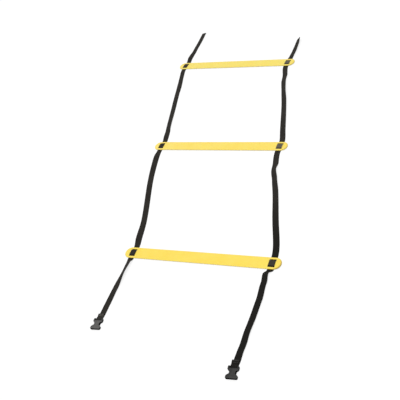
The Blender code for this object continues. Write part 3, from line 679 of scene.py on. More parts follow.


# %% [markdown]
# ## Webbing
#
# The photograph shows a dark, warm grey twill with faint lighter diagonals and no shine to speak of.
# The pattern follows the strap and not the room, so it reads the UV map: across the strap, and along
# it, both in strap widths. The same cosine as in the mesh darkens the valleys, fine noise drawn out
# along the cords stands for the filaments, and where the knife melted the end it turns smooth and
# lighter, its own colour with a painted sheen on it. The right strap's colour is a painted shade that
# darkens it towards its buckle, and where a strap crosses a bridge on the side of the light it is
# painted lighter, a painted highlight.

# %% The webbing's material
WEBBING_DARK = (0.0058, 0.0049, 0.0036)
WEBBING_LIGHT = (0.039, 0.0342, 0.0285)
# The melted ends' own colour, made lighter by a painted sheen where the smooth end catches the light.
WEBBING_FUSED_AND_SHEEN = (0.040, 0.038, 0.035)
WEBBING_GLARE = (0.18, 0.155, 0.11)
WEBBING_LINT = (0.16, 0.15, 0.135)
BRIDGE_GLARE = {"left": {"near": 0.05, "middle": 0.0, "far": 0.12},
                "right": {"near": 0.28, "middle": 0.85, "far": 0.85}}
# Painted shade: the right strap's colour falls to this share near its buckle, where it lies in less light.
SHADED_TONE_BY_BUCKLE = {"left": 1.0, "right": 0.05}
PAINTED_SHADE_LIFTS = (20.0, 33.0)
CROWN_SHARE, FILAMENT_SHARE, GAP_SHARE, LINT_SHARE = 0.62, 0.42, 0.16, 0.25
FILAMENT_STRETCH = (150.0, 14.0, 1.0)
CROWN_HEIGHT, FILAMENT_HEIGHT, FUSED_FLATTENS = 0.8, 0.5, 0.85
FUSED_SMOOTHS = 0.34
FLAT_SHARE = 1 - 2 * SELVEDGE_RADIUS / STRAP_WIDTH


def twill_group():
    """The cords' own light and dark: Crown is 1 on top of a float, Gap is 1 between two cords."""
    nodes, given, made = shader_group("twill", {"Across": 0.0, "Along": 0.0}, ["Crown", "Gap"])
    on_flat = nodes.math("SUBTRACT", given["Across"], (1 - FLAT_SHARE) / 2)
    cords = nodes.times(on_flat, CORDS / FLAT_SHARE)
    cord = nodes.math("FLOOR", cords)
    inside = nodes.math("SINE", nodes.times(nodes.math("SUBTRACT", cords, cord), math.pi))
    picks = nodes.times(given["Along"], STRAP_WIDTH / PICK)
    phase = nodes.times(nodes.math("ADD", picks, cord), 2 * math.pi / FLOAT_PICKS)
    floating = nodes.math("MULTIPLY_ADD", nodes.math("COSINE", phase), 0.5, 0.5)
    arch = nodes.math("POWER", nodes.math("MAXIMUM", inside, 0.0), 0.6)
    gap = nodes.ramp(inside, low=0.0, high=0.45, low_to=1.0, high_to=0.0)
    nodes.feed(made, {"Crown": nodes.times(floating, arch), "Gap": gap})
    return nodes.tree


TWILL = twill_group()


def webbing_material(side):
    material, nodes, shader = new_material(f"webbing_{side}")
    lie = nodes.add("UVMap", uv_map="lie")
    across, along, _ = nodes.add("SeparateXYZ", {"Vector": lie}, out=None)
    pattern = nodes.add("Group", {"Across": across, "Along": along}, out=None, node_tree=TWILL)
    drawn_out = nodes.add("Mapping", {"Vector": lie, "Scale": FILAMENT_STRETCH})
    filaments = nodes.noise(drawn_out, scale=1.0, detail=3.0, roughness=0.6)
    place = nodes.add("TexCoord", out="Object")
    patches = nodes.noise(place, scale=26.0, detail=4.0, roughness=0.6)
    fused = nodes.mask("fused")

    tone = nodes.math("MULTIPLY_ADD", pattern["Crown"], CROWN_SHARE, nodes.times(filaments, FILAMENT_SHARE))
    tone = nodes.times(tone, nodes.ramp(patches, low=0.3, high=0.7, low_to=0.72, high_to=1.18))
    # Painted shade on the right strap towards its buckle; it lifts between these distances in strap widths.
    tone = nodes.times(tone, nodes.ramp(along, *PAINTED_SHADE_LIFTS, low_to=SHADED_TONE_BY_BUCKLE[side]))
    tone = nodes.math("SUBTRACT", tone, nodes.times(pattern["Gap"], GAP_SHARE), clamp=True)
    woven = nodes.mix(tone, WEBBING_DARK, WEBBING_LIGHT)
    lint = nodes.ramp(nodes.noise(place, scale=900.0, detail=2.0, roughness=0.7), low=0.72, high=0.80)
    dusty = nodes.mix(nodes.times(lint, LINT_SHARE), woven, WEBBING_LINT)
    streaks = nodes.ramp(filaments, low=0.25, high=0.75, low_to=0.5)
    lit = nodes.mix(nodes.times(nodes.mask("glare"), streaks), dusty, WEBBING_GLARE)

    rough = nodes.ramp(filaments, low=0.3, high=0.7, low_to=0.66, high_to=0.86)
    fibres = nodes.math(
        "MULTIPLY_ADD", pattern["Crown"], CROWN_HEIGHT, nodes.times(filaments, FILAMENT_HEIGHT))
    height = nodes.times(fibres, nodes.math("SUBTRACT", 1.0, nodes.times(fused, FUSED_FLATTENS)))
    nodes.feed(shader, {
        "Base Color": nodes.mix(fused, lit, WEBBING_FUSED_AND_SHEEN),
        "Roughness": nodes.math("SUBTRACT", rough, nodes.times(fused, FUSED_SMOOTHS)),
        "Normal": nodes.bump(height, strength=0.55, distance=0.00012),
        "Specular IOR Level": 0.12,
        "Sheen Weight": 0.02,
        "Sheen Roughness": 0.45,
        "Sheen Tint": (0.8, 0.78, 0.74, 1.0),
    })
    return material


WEBBING = {side: webbing_material(side) for side in SIDES}

# %% Make every piece of both straps
BEFORE_SLAT = {"near": "buckle_tail", "middle": "near_bay", "far": "far_bay"}


def webbing(name, side, rows, nodes, glare=0.0):
    """A piece of webbing, with all that it says of itself but how it moves."""
    item = woven_piece(name, side, rows, glare)
    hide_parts(*nodes)
    return item


def sliding_piece(name, side, rows, nodes):
    """Webbing between a length of strap that stays and a slat that slides on it."""
    item = webbing(name, side, rows, nodes)
    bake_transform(item)


def fold_piece(name, side, rows, nodes):
    """The few centimetres of webbing at a fold line."""
    item = webbing(name, side, rows, nodes)
    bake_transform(item)


def looped_piece(name, side, cut, marks):
    """The tail with its loop round the buckle's bar."""
    level = rows_between(marks["fold_back"] + LEVEL_STEP, cut["buckle_tail"], LEVEL_STEP)
    rows = np.concatenate([cut_end_rows(marks["fold_back"]), level])
    item = webbing(name, side, rows, [f"strap_{side}_buckle_tail"])
    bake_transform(item)


def dress_strap(side):
    _, run, marks = STRAPS[side]
    cut = {name: place + TOUCH_GAP / 2 for name, place in marks.items()}
    strap, name = f"strap_{side}", f"webbing_{side}"
    looped_piece(f"{name}_buckle_tail", side, cut, marks)

    for rung, before in BEFORE_SLAT.items():
        rows = rows_between(cut[before], cut[f"{rung}_weave"], BEND_STEP)
        nodes, glare = [f"{strap}_through_{rung}_rung"], BRIDGE_GLARE[side][rung]
        item = webbing(f"{name}_{rung}_weave", side, rows, nodes, glare)
        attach(item, f"{rung}_rung")

    for fold, (first, second) in BAYS.items():
        nodes = [f"{strap}_{fold}_bay_by_{rung}_rung" for rung in (first, second)]
        fold_rows = rows_between(cut[f"{fold}_fold_start"], cut[f"{fold}_fold_end"], LEVEL_STEP)
        first_rows = rows_between(cut[f"{first}_weave"], fold_rows[0], LEVEL_STEP)
        second_rows = rows_between(fold_rows[-1], cut[f"{fold}_bay"], LEVEL_STEP)
        sliding_piece(f"{name}_{fold}_bay_by_{first}", side, first_rows, nodes[:1])
        fold_piece(f"{name}_{fold}_fold", side, fold_rows, nodes)
        sliding_piece(f"{name}_{fold}_bay_by_{second}", side, second_rows, nodes[1:])

    free = run[-1] - cut_end_rows(run[-1] - cut["far_weave"])[::-1]
    sliding_piece(f"{name}_free_tail", side, free, [f"{strap}_free_tail"])


for side in SIDES:
    dress_strap(side)

# %% [markdown]
# ## The slats
#
# A slat is a 3 mm moulding with half-round ends, a softly rounded rim and two pairs of slots. Its top
# is a grid in two parameters: straight rows along the slat, which carry on over each half-round end
# by the map that turns a square into a disc. Cells inside a slot are left out, and the points round a
# slot are drawn onto its rounded outline. A rim profile is then carried round the outer edge and
# round each slot. A Boolean would cut the slots too, but it leaves stray corners on a glossy face.

# %% Work out a slat's plan grid
RIM_ROUNDING = 0.0010
SLOT_ROUNDING = 0.00035
SLOT_CORNER = 0.0010
SLOT_SIDE_CLEARANCE = 0.0005
SLOT_LENGTH = STRAP_WIDTH + 2 * SLOT_SIDE_CLEARANCE
RIM_STEPS = 5
CROWN = 0.00012
SUPPORT = 0.0005
LONG_STEP, SLOT_STEP, DISC_STEP = 0.012, 0.003, 0.002
MIDDLE_ROWS, OUTER_ROW = (0.0025, 0.005), 0.0165
CORNER_SHARES = (0.0, 0.3, 1.0)
SHADE_WIDTH = 0.004
SHADE_WAY = unit(np.array([1.0, -0.5]))


def mirrored(values):
    """The values and their negatives, in order, with zero in the middle."""
    return np.concatenate([-np.array(values)[::-1], [0.0], values])


def slat_lines():
    """Grid lines: rows across the slat, columns along it out to the disc's square, and a slot's reach."""
    disc = RUNG_WIDTH / 2 - RIM_ROUNDING
    corner = np.array(CORNER_SHARES) * (SLOT_CORNER + SLOT_ROUNDING)
    near, far = BRIDGE_WIDTH / 2 - SLOT_ROUNDING, SLOT_OUTER + SLOT_ROUNDING
    rows = [*MIDDLE_ROWS, near - SUPPORT, *(near + corner), *(far - corner[::-1]), far + SUPPORT, OUTER_ROW,
            disc - SUPPORT, disc]
    half_slot = SLOT_LENGTH / 2 + SLOT_ROUNDING
    inner, outer = STRAP_HALF_SPACING - half_slot, STRAP_HALF_SPACING + half_slot
    past_slot = outer + 3 * SUPPORT
    plain = rows_between(0.0, inner - SUPPORT, LONG_STEP)[1:]
    by_slot = rows_between(inner + corner[-1], outer - corner[-1], SLOT_STEP)[1:-1]
    disc_lines = RUNG_STRAIGHT + rows_between(past_slot - RUNG_STRAIGHT, disc - SUPPORT, DISC_STEP)[1:]
    columns = np.concatenate([plain, inner + corner, by_slot, outer - corner[::-1], [past_slot], disc_lines,
                              [RUNG_STRAIGHT + disc]])
    return mirrored(rows), mirrored(columns), (near, far), (inner, outer)


def square_to_disc(x, y, radius):
    """A square's points onto a disc: each coordinate is drawn in as the other one grows."""
    u, v = x / radius, y / radius
    return radius * u * np.sqrt(1 - v ** 2 / 2), radius * v * np.sqrt(1 - u ** 2 / 2)


def onto_slot(points, low, high, radius):
    """Points moved onto a rounded rectangle's outline, with the ways out of the slot there."""
    points = np.clip(points, low, high)
    core = np.clip(points, low + radius, high - radius)
    out = unit(points - core)
    return core + out * radius, out


def grid_ring(row_range, column_range):
    """Grid places round a block of cells, once round it anticlockwise."""
    (r0, r1), (c0, c1) = row_range, column_range
    along, up = np.arange(c0, c1), np.arange(r0, r1)
    rows = np.concatenate([np.full(len(along), r0), up, np.full(len(along), r1), up[::-1] + 1])
    columns = np.concatenate([along, np.full(len(up), c1), along[::-1] + 1, np.full(len(up), c0)])
    return rows, columns


def rim_profile(rounding, top):
    """From the top face over a rounded edge, down the wall and under: outward in metres, and height."""
    turn = np.linspace(0, math.pi / 2, RIM_STEPS + 1)[1:]
    out, drop = rounding * np.sin(turn), rounding * (1 - np.cos(turn))
    upper = np.stack([np.broadcast_to(out, (len(top), RIM_STEPS)), top[:, None] - drop])
    lower = np.stack(np.broadcast_arrays(out[::-1], drop[::-1] + np.zeros((len(top), 1))))
    return np.concatenate([upper, lower], axis=2)


def end_shade(plan):
    """How far each point is on the rim of the right end, which turns from the light."""
    past_straight = np.clip(plan[:, 0] - RUNG_STRAIGHT, 0, None)
    away = np.column_stack([past_straight, plan[:, 1]])
    distance = np.linalg.norm(away, axis=1)
    on_rim = np.clip((distance - RUNG_WIDTH / 2 + SHADE_WIDTH) / SHADE_WIDTH * 2, 0, 1)
    facing = np.clip(away @ SHADE_WAY / np.maximum(distance, 1e-6), 0, 1)
    return on_rim * facing * (past_straight > 0)


# %% Put the top, the underside and the rims together
def slat_surface():
    """Points, quads and masks of a slat with its middle at the origin."""
    rows, columns, (near, far), (inner, outer) = slat_lines()
    x, y = np.meshgrid(columns, rows)
    over = np.clip(np.abs(x) - RUNG_STRAIGHT, 0, None)
    round_x, round_y = square_to_disc(over, y, RUNG_WIDTH / 2 - RIM_ROUNDING)
    plan = np.stack([np.clip(x, -RUNG_STRAIGHT, RUNG_STRAIGHT) + np.sign(x) * round_x, round_y], -1)

    kept = np.ones((len(rows) - 1, len(columns) - 1), bool)
    outer_ring = grid_ring((0, len(rows) - 1), (0, len(columns) - 1))
    slot_rings = []
    for sign_x, sign_y in ((-1, -1), (-1, 1), (1, -1), (1, 1)):
        box = np.sort([[sign_x * inner, sign_x * outer], [sign_y * near, sign_y * far]], axis=1)
        c0, c1 = np.searchsorted(columns, box[0] - TOUCH_GAP / 10)
        r0, r1 = np.searchsorted(rows, box[1] - TOUCH_GAP / 10)
        kept[r0:r1, c0:c1] = False
        ring = grid_ring((r0, r1), (c0, c1))
        plan[ring], out = onto_slot(plan[ring], box[:, 0], box[:, 1], SLOT_CORNER + SLOT_ROUNDING)
        slot_rings.append((ring, -out))
    edge = plan[outer_ring]
    spine = np.column_stack([np.clip(edge[:, 0], -RUNG_STRAIGHT, RUNG_STRAIGHT), np.zeros(len(edge))])

    top = RUNG_THICKNESS - CROWN * (plan[..., 1] / (RUNG_WIDTH / 2)) ** 2
    number = np.arange(top.size).reshape(top.shape)
    cells = quads_between(number)[kept]
    points = [np.dstack([plan, height]).reshape(-1, 3) for height in (top, np.zeros_like(top))]
    quads = [cells, cells[:, ::-1] + top.size]
    used = 2 * top.size
    masks = {"edge": [np.zeros(used)], "slot": [np.zeros(used)]}
    for ring, out in [(outer_ring, unit(edge - spine)), *slot_rings]:
        is_slot = ring is not outer_ring
        away, height = rim_profile(SLOT_ROUNDING if is_slot else RIM_ROUNDING, top[ring])
        placed = plan[ring][:, None] + out[:, None] * away[..., None]
        made = used + np.arange(away.size).reshape(away.shape)
        start = number[ring][:, None]
        strip = np.hstack([start, made, start + top.size])
        band = quads_between(np.vstack([strip, strip[:1]])).reshape(-1, 4)
        quads.append(band[:, ::-1] if is_slot else band)
        points.append(np.dstack([placed, height]).reshape(-1, 3))
        masks["edge"].append(np.ones(away.size))
        masks["slot"].append(np.full(away.size, float(is_slot)))
        used += away.size
    points, masks = np.vstack(points), {name: np.concatenate(parts) for name, parts in masks.items()}
    return points, np.vstack(quads), {**masks, "shade": end_shade(points[:, :2])}


SLAT_POINTS, SLAT_QUADS, SLAT_MASKS = slat_surface()
print("one slat has", len(SLAT_QUADS), "quads")

# %% [markdown]
# ## Yellow plastic
#
# The slats are a pale, warm yellow with a soft sheen. Under a flat colour they would look like paper,
# so the tone drifts slowly along the slat, the rim is a little worn, the walls of the slots are darkened
# in patches, a painted shade that also stands for black webbing rubbed off there, and the top has the
# fine scuffs that shoes leave. The rim at the right end turns from the light and is painted a darker,
# olive yellow as shade. A Mapping node turns the pattern with each slat, because the mesh itself is not
# turned: its place is in its points.

# %% The slats' material
SLAT_YELLOW = {"near": (0.94, 0.715, 0.098), "middle": (0.94, 0.725, 0.122), "far": (0.92, 0.735, 0.138)}
SLAT_DEEP = {"near": (0.93, 0.690, 0.080), "middle": (0.93, 0.700, 0.104), "far": (0.91, 0.715, 0.120)}
SLAT_WORN = (0.94, 0.78, 0.24)
# Painted shade on the slot walls, in patches that also stand for webbing rubbed off there.
SLOT_SHADE_AND_RUB = (0.20, 0.135, 0.035)
SLAT_SHADED = (0.46, 0.33, 0.035)
SHADE_SHARE = {"near": 1.0, "middle": 0.45, "far": 0.5}
SLAT_GRAIN = {"Grain Scale": 1400.0, "Wave Scale": 22.0}
SLAT_SCUFFS, SLAT_WEAR = {"Scale": 55.0, "Amount": 0.55}, 0.55
SLAT_RUBS_PALE, SLAT_RUBS_DULL, SCUFF_DEPTH = 0.6, 0.22, 0.8


def slat_material(rung):
    material, nodes, shader = new_material(f"slat_plastic_{rung}")
    centre, _, side = RUNGS[rung]
    place = nodes.own_place((*centre, 0.0), math.atan2(side[1], side[0]))
    grain, scuffs, rubbed = moulded(nodes, place, SLAT_GRAIN, SLAT_SCUFFS, SLAT_WEAR)
    drift = nodes.ramp(grain["Waves"], low=0.3, high=0.7)
    slot_shade_patches = nodes.ramp(nodes.noise(place, scale=260.0), low=0.30, high=0.62, low_to=0.10, high_to=0.45)
    colour = nodes.mix(drift, SLAT_YELLOW[rung], SLAT_DEEP[rung])
    colour = nodes.mix(nodes.times(rubbed, SLAT_RUBS_PALE), colour, SLAT_WORN)
    # Painted shade in the slots, mixed with rubbed-off webbing.
    colour = nodes.mix(nodes.times(nodes.mask("slot"), slot_shade_patches), colour, SLOT_SHADE_AND_RUB)
    colour = nodes.mix(nodes.times(nodes.mask("shade"), SHADE_SHARE[rung]), colour, SLAT_SHADED)
    rough = nodes.ramp(grain["Waves"], low=0.25, high=0.75, low_to=0.36, high_to=0.46)
    height = nodes.math("SUBTRACT", grain["Height"], nodes.times(scuffs, SCUFF_DEPTH))
    nodes.feed(shader, {
        "Base Color": colour,
        "Roughness": nodes.math("MULTIPLY_ADD", rubbed, SLAT_RUBS_DULL, rough),
        "Normal": nodes.bump(height, strength=0.35, distance=0.00008),
        "IOR": 1.46,
        "Subsurface Weight": 0.12,
        "Subsurface Radius": (0.004, 0.0025, 0.0008),
        "Subsurface Scale": 0.5,
    })
    return material


# %% Lay the three slats
for rung, (centre, way, side) in RUNGS.items():
    turn = np.column_stack([np.append(side, 0.0), np.append(way, 0.0), UP])
    points = SLAT_POINTS @ turn.T + [*centre, RUNG_UNDERSIDE]
    slat = make_piece(f"slat_{rung}", points, SLAT_QUADS, slat_material(rung), masks=SLAT_MASKS)
    declare_rigid(slat, f"{rung}_rung", f"rung_{rung}")

# %% [markdown]
# ## The buckle halves
#
# A socket half is one hollow moulding: an hourglass body, an open mouth, a window either side of the
# waist where the prongs' shoulders show, and a round bar between two rails. No single sheet of two
# parameters can be that, so it is written as a distance formula instead: negative inside, positive
# outside. Pieces are joined and cut with rounded minima and maxima, which is how the soft edges of a
# moulding come out by themselves. The surface is then found on a grid of cells, one point for each
# cell that it crosses, and every point is drawn onto the formula's zero.

# %% Find the surface of a distance formula
AXES = np.eye(3, dtype=int)
STEEPEST_MOVE = 4
LEAST_SLOPE = 0.1
DRAWN_ROUNDS = 4


def rounded_cut(first, second, radius):
    """The part of the first that is in the second too, with a rounded edge where they meet."""
    corner = np.hypot(np.maximum(first + radius, 0), np.maximum(second + radius, 0))
    return np.minimum(np.maximum(first, second), -radius) + corner


def slopes(distance, points, step):
    """Value, gradient and curvature of a distance formula at points, by central differences."""
    middle = distance(*points.T)
    gradient, bend = np.zeros_like(points), np.zeros(len(points))
    for axis in range(3):
        offset = step * AXES[axis]
        ahead, behind = distance(*(points + offset).T), distance(*(points - offset).T)
        gradient[:, axis] = (ahead - behind) / (2 * step)
        bend += (ahead + behind - 2 * middle) / step ** 2
    return middle, gradient, bend


def surface_net(distance, axes):
    """Points and quads where a formula is zero: a point per crossed cell, a quad per crossed edge."""
    grid = np.stack(np.meshgrid(*axes, indexing="ij"), -1)
    field = distance(*np.moveaxis(grid, -1, 0))
    cell_counts = np.array(field.shape) - 1
    total, count = np.zeros((*cell_counts, 3)), np.zeros(cell_counts, int)
    crossings = []
    for axis in range(3):
        a, b = (np.take(field, np.arange(k, field.shape[axis] - 1 + k), axis) for k in (0, 1))
        crossed = (a < 0) != (b < 0)
        start = np.argwhere(crossed)
        share = (a[crossed] / (a[crossed] - b[crossed]))[:, None]
        place = grid[tuple(start.T)] * (1 - share) + grid[tuple((start + AXES[axis]).T)] * share
        first, second = AXES[(axis + 1) % 3], AXES[(axis + 2) % 3]
        cells = [start - first - second, start - second, start, start - first]
        for cell in cells:
            np.add.at(total, tuple(cell.T), place)
            np.add.at(count, tuple(cell.T), 1)
        crossings.append((np.stack(cells, 1), a[crossed] < 0))
    number = np.cumsum(count.ravel() > 0).reshape(count.shape) - 1
    quads = []
    for cells, outward in crossings:
        found = number[tuple(np.moveaxis(cells, -1, 0))]
        quads.append(np.where(outward[:, None], found, found[:, ::-1]))
    return total[count > 0] / count[count > 0][:, None], np.vstack(quads)


def drawn_onto(points, distance, step):
    """Points moved down the gradient until the formula is zero there."""
    for _ in range(DRAWN_ROUNDS):
        value, gradient, _ = slopes(distance, points, step)
        steepness = np.maximum((gradient ** 2).sum(1), LEAST_SLOPE)[:, None]
        move = value[:, None] * gradient / steepness
        points = points - np.clip(move, -step * STEEPEST_MOVE, step * STEEPEST_MOVE)
    return points


# %% Write the buckle half as a formula
BUCKLE_LENGTH = 0.035
BUCKLE_THICKNESS = 0.008
BUCKLE_MIDDLE = BUCKLE_THICKNESS / 2
BUCKLE_WALL = 0.0016
BUCKLE_SIDE_WALL = 0.0045
BUCKLE_BACK_WALL = 0.004
BUCKLE_CROWN = 0.0005
FRAME_HALF, WAIST_HALF, MOUTH_HALF = 0.015, 0.00975, 0.016
HALF_WIDTHS = ((0.0, FRAME_HALF), (0.26, FRAME_HALF), (0.46, WAIST_HALF), (0.58, WAIST_HALF),
               (0.80, MOUTH_HALF), (1.0, MOUTH_HALF))
CORNER_RADIUS = 0.0028
EDGE_RADIUS = 0.0011
INNER_RADIUS = 0.0004
FILLET_RADIUS = 1.5 * INNER_RADIUS
BAR_RADIUS = 0.00175
BAR_REAR_MARGIN = 0.0006
LOOP_RUN_CLEARANCE, LOOP_SIDE_CLEARANCE = 0.0006, 0.0008
BAR_PLACE = BAR_REAR_MARGIN + BAR_RADIUS
BAY_END = LOOP_RADIUS + STRAP_LIE + LOOP_RUN_CLEARANCE
BAY_HALF = STRAP_WIDTH / 2 + LOOP_SIDE_CLEARANCE
MOUTH_FLARE = 0.0008
MOUTH_FLARE_DEPTH = 0.0024
MOUTH_FLARE_LIMIT = 1.2
MOUTH_WALL = 0.0019
LIP_DEPTH = 0.0013
ROOF_INSETS = ((0.0, 0), (0.30, 0), (0.44, 0.0016), (0.56, 0.0016), (0.74, 0), (1.0, 0))
ROOF_STARTS, ROOF_ENDS = 0.3, 0.7
GUIDE_PLACE, GUIDE_HALF, GUIDE_HEIGHT = 0.0042, 0.00055, 0.0009
CELL = 0.0004
GRID_MARGIN = 2.3 * CELL
LIP_PAINTED_SHADE, WALL_PAINTED_SHADE = 0.95, 0.85
INSIDE_REACH, EDGE_BEND_SHARE = 1.2, 0.8


def along_buckle(along, table):
    """A table over the buckle's length, eased between its rows."""
    return between_rows(np.clip(along / BUCKLE_LENGTH, 0, 1), table, 1)


def buckle_hollow(x, along, z):
    """Signed distance to the room inside: open at the mouth, wide there, and closed by the back wall."""
    into = np.clip(1 - (BUCKLE_LENGTH - along) / MOUTH_FLARE_DEPTH, 0, MOUTH_FLARE_LIMIT) ** 2 * MOUTH_FLARE
    roof = np.abs(z - BUCKLE_MIDDLE) - (BUCKLE_MIDDLE - BUCKLE_WALL) - into
    room_half = np.maximum(MOUTH_HALF - BUCKLE_SIDE_WALL, along_buckle(along, HALF_WIDTHS) - MOUTH_WALL)
    back = BAR_PLACE + BAY_END + BUCKLE_BACK_WALL - along
    hollow = rounded_cut(roof, np.abs(x) - room_half - into, 2 * INNER_RADIUS)
    hollow = rounded_cut(hollow, back, 2 * INNER_RADIUS)
    guide = rounded_cut(np.abs(np.abs(x) - GUIDE_PLACE) - GUIDE_HALF, -roof - GUIDE_HEIGHT, INNER_RADIUS)
    guide = np.maximum(guide, along - BUCKLE_LENGTH + 2 * MOUTH_FLARE_DEPTH)
    return rounded_cut(hollow, -guide, INNER_RADIUS)


def buckle_distance(x, y, z):
    """Signed distance to the buckle half. x is along the bar, y towards the mouth from the bar's middle."""
    along = y + BAR_PLACE
    half = along_buckle(along, HALF_WIDTHS)
    ahead, behind = along_buckle(along + CELL, HALF_WIDTHS), along_buckle(along - CELL, HALF_WIDTHS)
    slant = (ahead - behind) / (2 * CELL)
    upper = np.clip((z / BUCKLE_THICKNESS - ROOF_STARTS) / (ROOF_ENDS - ROOF_STARTS), 0, 1)
    inset = along_buckle(along, ROOF_INSETS)
    sides = (np.abs(x) - half + inset * upper) / np.sqrt(1 + slant ** 2)
    ends = np.abs(along - BUCKLE_LENGTH / 2) - BUCKLE_LENGTH / 2
    plan = rounded_cut(sides, ends, CORNER_RADIUS)
    lids = np.abs(z - BUCKLE_MIDDLE) - BUCKLE_MIDDLE + BUCKLE_CROWN * (x / MOUTH_HALF) ** 2
    body = rounded_cut(plan, lids, EDGE_RADIUS)
    body = rounded_cut(body, -buckle_hollow(x, along, z), INNER_RADIUS)
    bay_cut = rounded_cut(np.abs(x) - BAY_HALF, along - BAR_PLACE - BAY_END, EDGE_RADIUS)
    body = rounded_cut(body, -bay_cut, FILLET_RADIUS)
    bar = np.maximum(np.hypot(y, z - BAR_HEIGHT) - BAR_RADIUS, np.abs(x) - (BAY_HALF + FRAME_HALF) / 2)
    return -rounded_cut(-body, -bar, FILLET_RADIUS)


def buckle_surface():
    """Points, quads, and masks: convex edges, the painted shade on the walls, the lips and the room inside,
    and the frame.
    """
    reach = MOUTH_HALF + GRID_MARGIN
    axes = [np.arange(-reach, reach, CELL),
            np.arange(-BAR_PLACE - GRID_MARGIN, BUCKLE_LENGTH - BAR_PLACE + 3 * CELL, CELL),
            np.arange(-GRID_MARGIN, BUCKLE_THICKNESS + 3 * CELL, CELL)]
    points, quads = surface_net(buckle_distance, axes)
    points = drawn_onto(points, buckle_distance, CELL / 8)
    bend = slopes(buckle_distance, points, CELL)[2]
    along, below_top = points[:, 1] + BAR_PLACE, BUCKLE_THICKNESS - points[:, 2]
    hollow = buckle_hollow(points[:, 0], along, points[:, 2])
    at_mouth = np.clip((along - BUCKLE_LENGTH + LIP_DEPTH) / CELL, 0, 1)
    lip = at_mouth * np.clip((below_top - LIP_DEPTH / 2) / CELL, 0, 1)
    walls = np.clip((below_top - EDGE_RADIUS) / CELL, 0, 1)
    # Painted shade: the room inside, the lip at the mouth and the walls below the top are darkened, in the
    # mask inside.
    inside = np.clip(INSIDE_REACH - hollow / INNER_RADIUS, 0, 1)
    masks = {
        "edge": np.clip(bend * EDGE_RADIUS * EDGE_BEND_SHARE, 0, 1),
        "inside": np.maximum.reduce([inside, LIP_PAINTED_SHADE * lip, WALL_PAINTED_SHADE * walls]),
        "frame": 1 - np.clip((along - BAR_PLACE - BAY_END) / BUCKLE_BACK_WALL, 0, 1),
    }
    return points, quads, masks


BUCKLE_POINTS, BUCKLE_QUADS, BUCKLE_MASKS = buckle_surface()
print("one buckle half has", len(BUCKLE_QUADS), "quads")

# %% [markdown]
# ## Black acetal
#
# Buckle plastic is nearly black, but the studio's white walls put a grey sheen on every upward face.
# A spark-eroded mould leaves a fine matte grain, so the sheen is dull. The walls, the lips and the room
# inside are painted darker, close to black, a painted shade, and the frame round the bar is coloured
# darker than the lid. A hairline runs round at mid height where the two halves of the mould met. The
# right half lies in less light, and its colours are a painted shade, a tone darker than the left's.

# %% The buckles' material
# The right half's colours are a painted shade: the same plastic as the left, darker for the lesser light.
LIT_AND_SHADED_BUCKLE_BLACK = {"left": (0.082, 0.080, 0.079), "right": (0.034, 0.0335, 0.033)}
LIT_AND_SHADED_BUCKLE_GREY = {"left": (0.110, 0.107, 0.105), "right": (0.052, 0.051, 0.050)}
BUCKLE_SHINE = {"left": 0.14, "right": 0.06}
BUCKLE_FRAME = (0.012, 0.012, 0.011)
BUCKLE_WORN = (0.115, 0.114, 0.112)
BUCKLE_PAINTED_SHADE = (0.0008, 0.0008, 0.0008)
BUCKLE_GRAIN = {"Grain Scale": 3200.0, "Wave Scale": 90.0}
BUCKLE_SCUFFS, BUCKLE_WEAR = {"Scale": 160.0, "Amount": 0.7}, 0.75
FRAME_DARKENS, BUCKLE_RUBS_PALE = 0.75, 0.5
BUCKLE_RUBS_DULL, INSIDE_DULLS = 0.16, 0.35
PARTING_HALF, PARTING_RISE = 0.00009, 1.2


def buckle_material(side):
    material, nodes, shader = new_material(f"buckle_plastic_{side}")
    place = nodes.own_place(buckle_place(side)[0])
    grain, _, rubbed = moulded(nodes, place, BUCKLE_GRAIN, BUCKLE_SCUFFS, BUCKLE_WEAR)
    drift = nodes.ramp(grain["Waves"], low=0.3, high=0.7)
    # The mask inside carries painted shade: the colour goes close to black on the walls, the lips and the
    # room inside.
    inside = nodes.mask("inside")
    colour = nodes.mix(drift, LIT_AND_SHADED_BUCKLE_BLACK[side], LIT_AND_SHADED_BUCKLE_GREY[side])
    colour = nodes.mix(nodes.times(nodes.mask("frame"), FRAME_DARKENS), colour, BUCKLE_FRAME)
    colour = nodes.mix(nodes.times(rubbed, BUCKLE_RUBS_PALE), colour, BUCKLE_WORN)
    rough = nodes.ramp(grain["Waves"], low=0.3, high=0.7, low_to=0.33, high_to=0.42)
    rough = nodes.math("MULTIPLY_ADD", rubbed, BUCKLE_RUBS_DULL, rough)
    above_bar = nodes.add("SeparateXYZ", {"Vector": place}, out=2)
    from_middle = nodes.math("ABSOLUTE", nodes.math("SUBTRACT", above_bar, BUCKLE_MIDDLE - BAR_HEIGHT))
    parting = nodes.ramp(from_middle, PARTING_HALF / 2, PARTING_HALF, low_to=1.0, high_to=0.0)
    height = nodes.math("MULTIPLY_ADD", parting, PARTING_RISE, grain["Height"])
    nodes.feed(shader, {
        "Base Color": nodes.mix(inside, colour, BUCKLE_PAINTED_SHADE),
        "Roughness": nodes.math("MULTIPLY_ADD", inside, INSIDE_DULLS, rough),
        "Normal": nodes.bump(height, strength=0.45, distance=0.00007),
        "IOR": 1.48,
        "Specular IOR Level": BUCKLE_SHINE[side],
    })
    return material


# %% Hang both buckle halves on their bars
for side in SIDES:
    bar, along_bar, way = buckle_place(side)
    points = BUCKLE_POINTS @ np.column_stack([along_bar, way, UP]).T + [bar[0], bar[1], 0.0]
    half = make_piece(f"buckle_half_{side}", points, BUCKLE_QUADS, buckle_material(side), masks=BUCKLE_MASKS)
    declare_rigid(half, f"{side}_buckle", f"buckle_{side}")

# %% [markdown]
# ## The stitching
#
# The loop is closed by two dense zigzag rows, sewn across the strap with one thread and a turn
# between them. A stitch isn't a flat line: the thread dips into each needle hole and arches over the
# webbing between two holes. The path is therefore a zigzag with a height that falls at every hole,
# and a round section is carried along it.

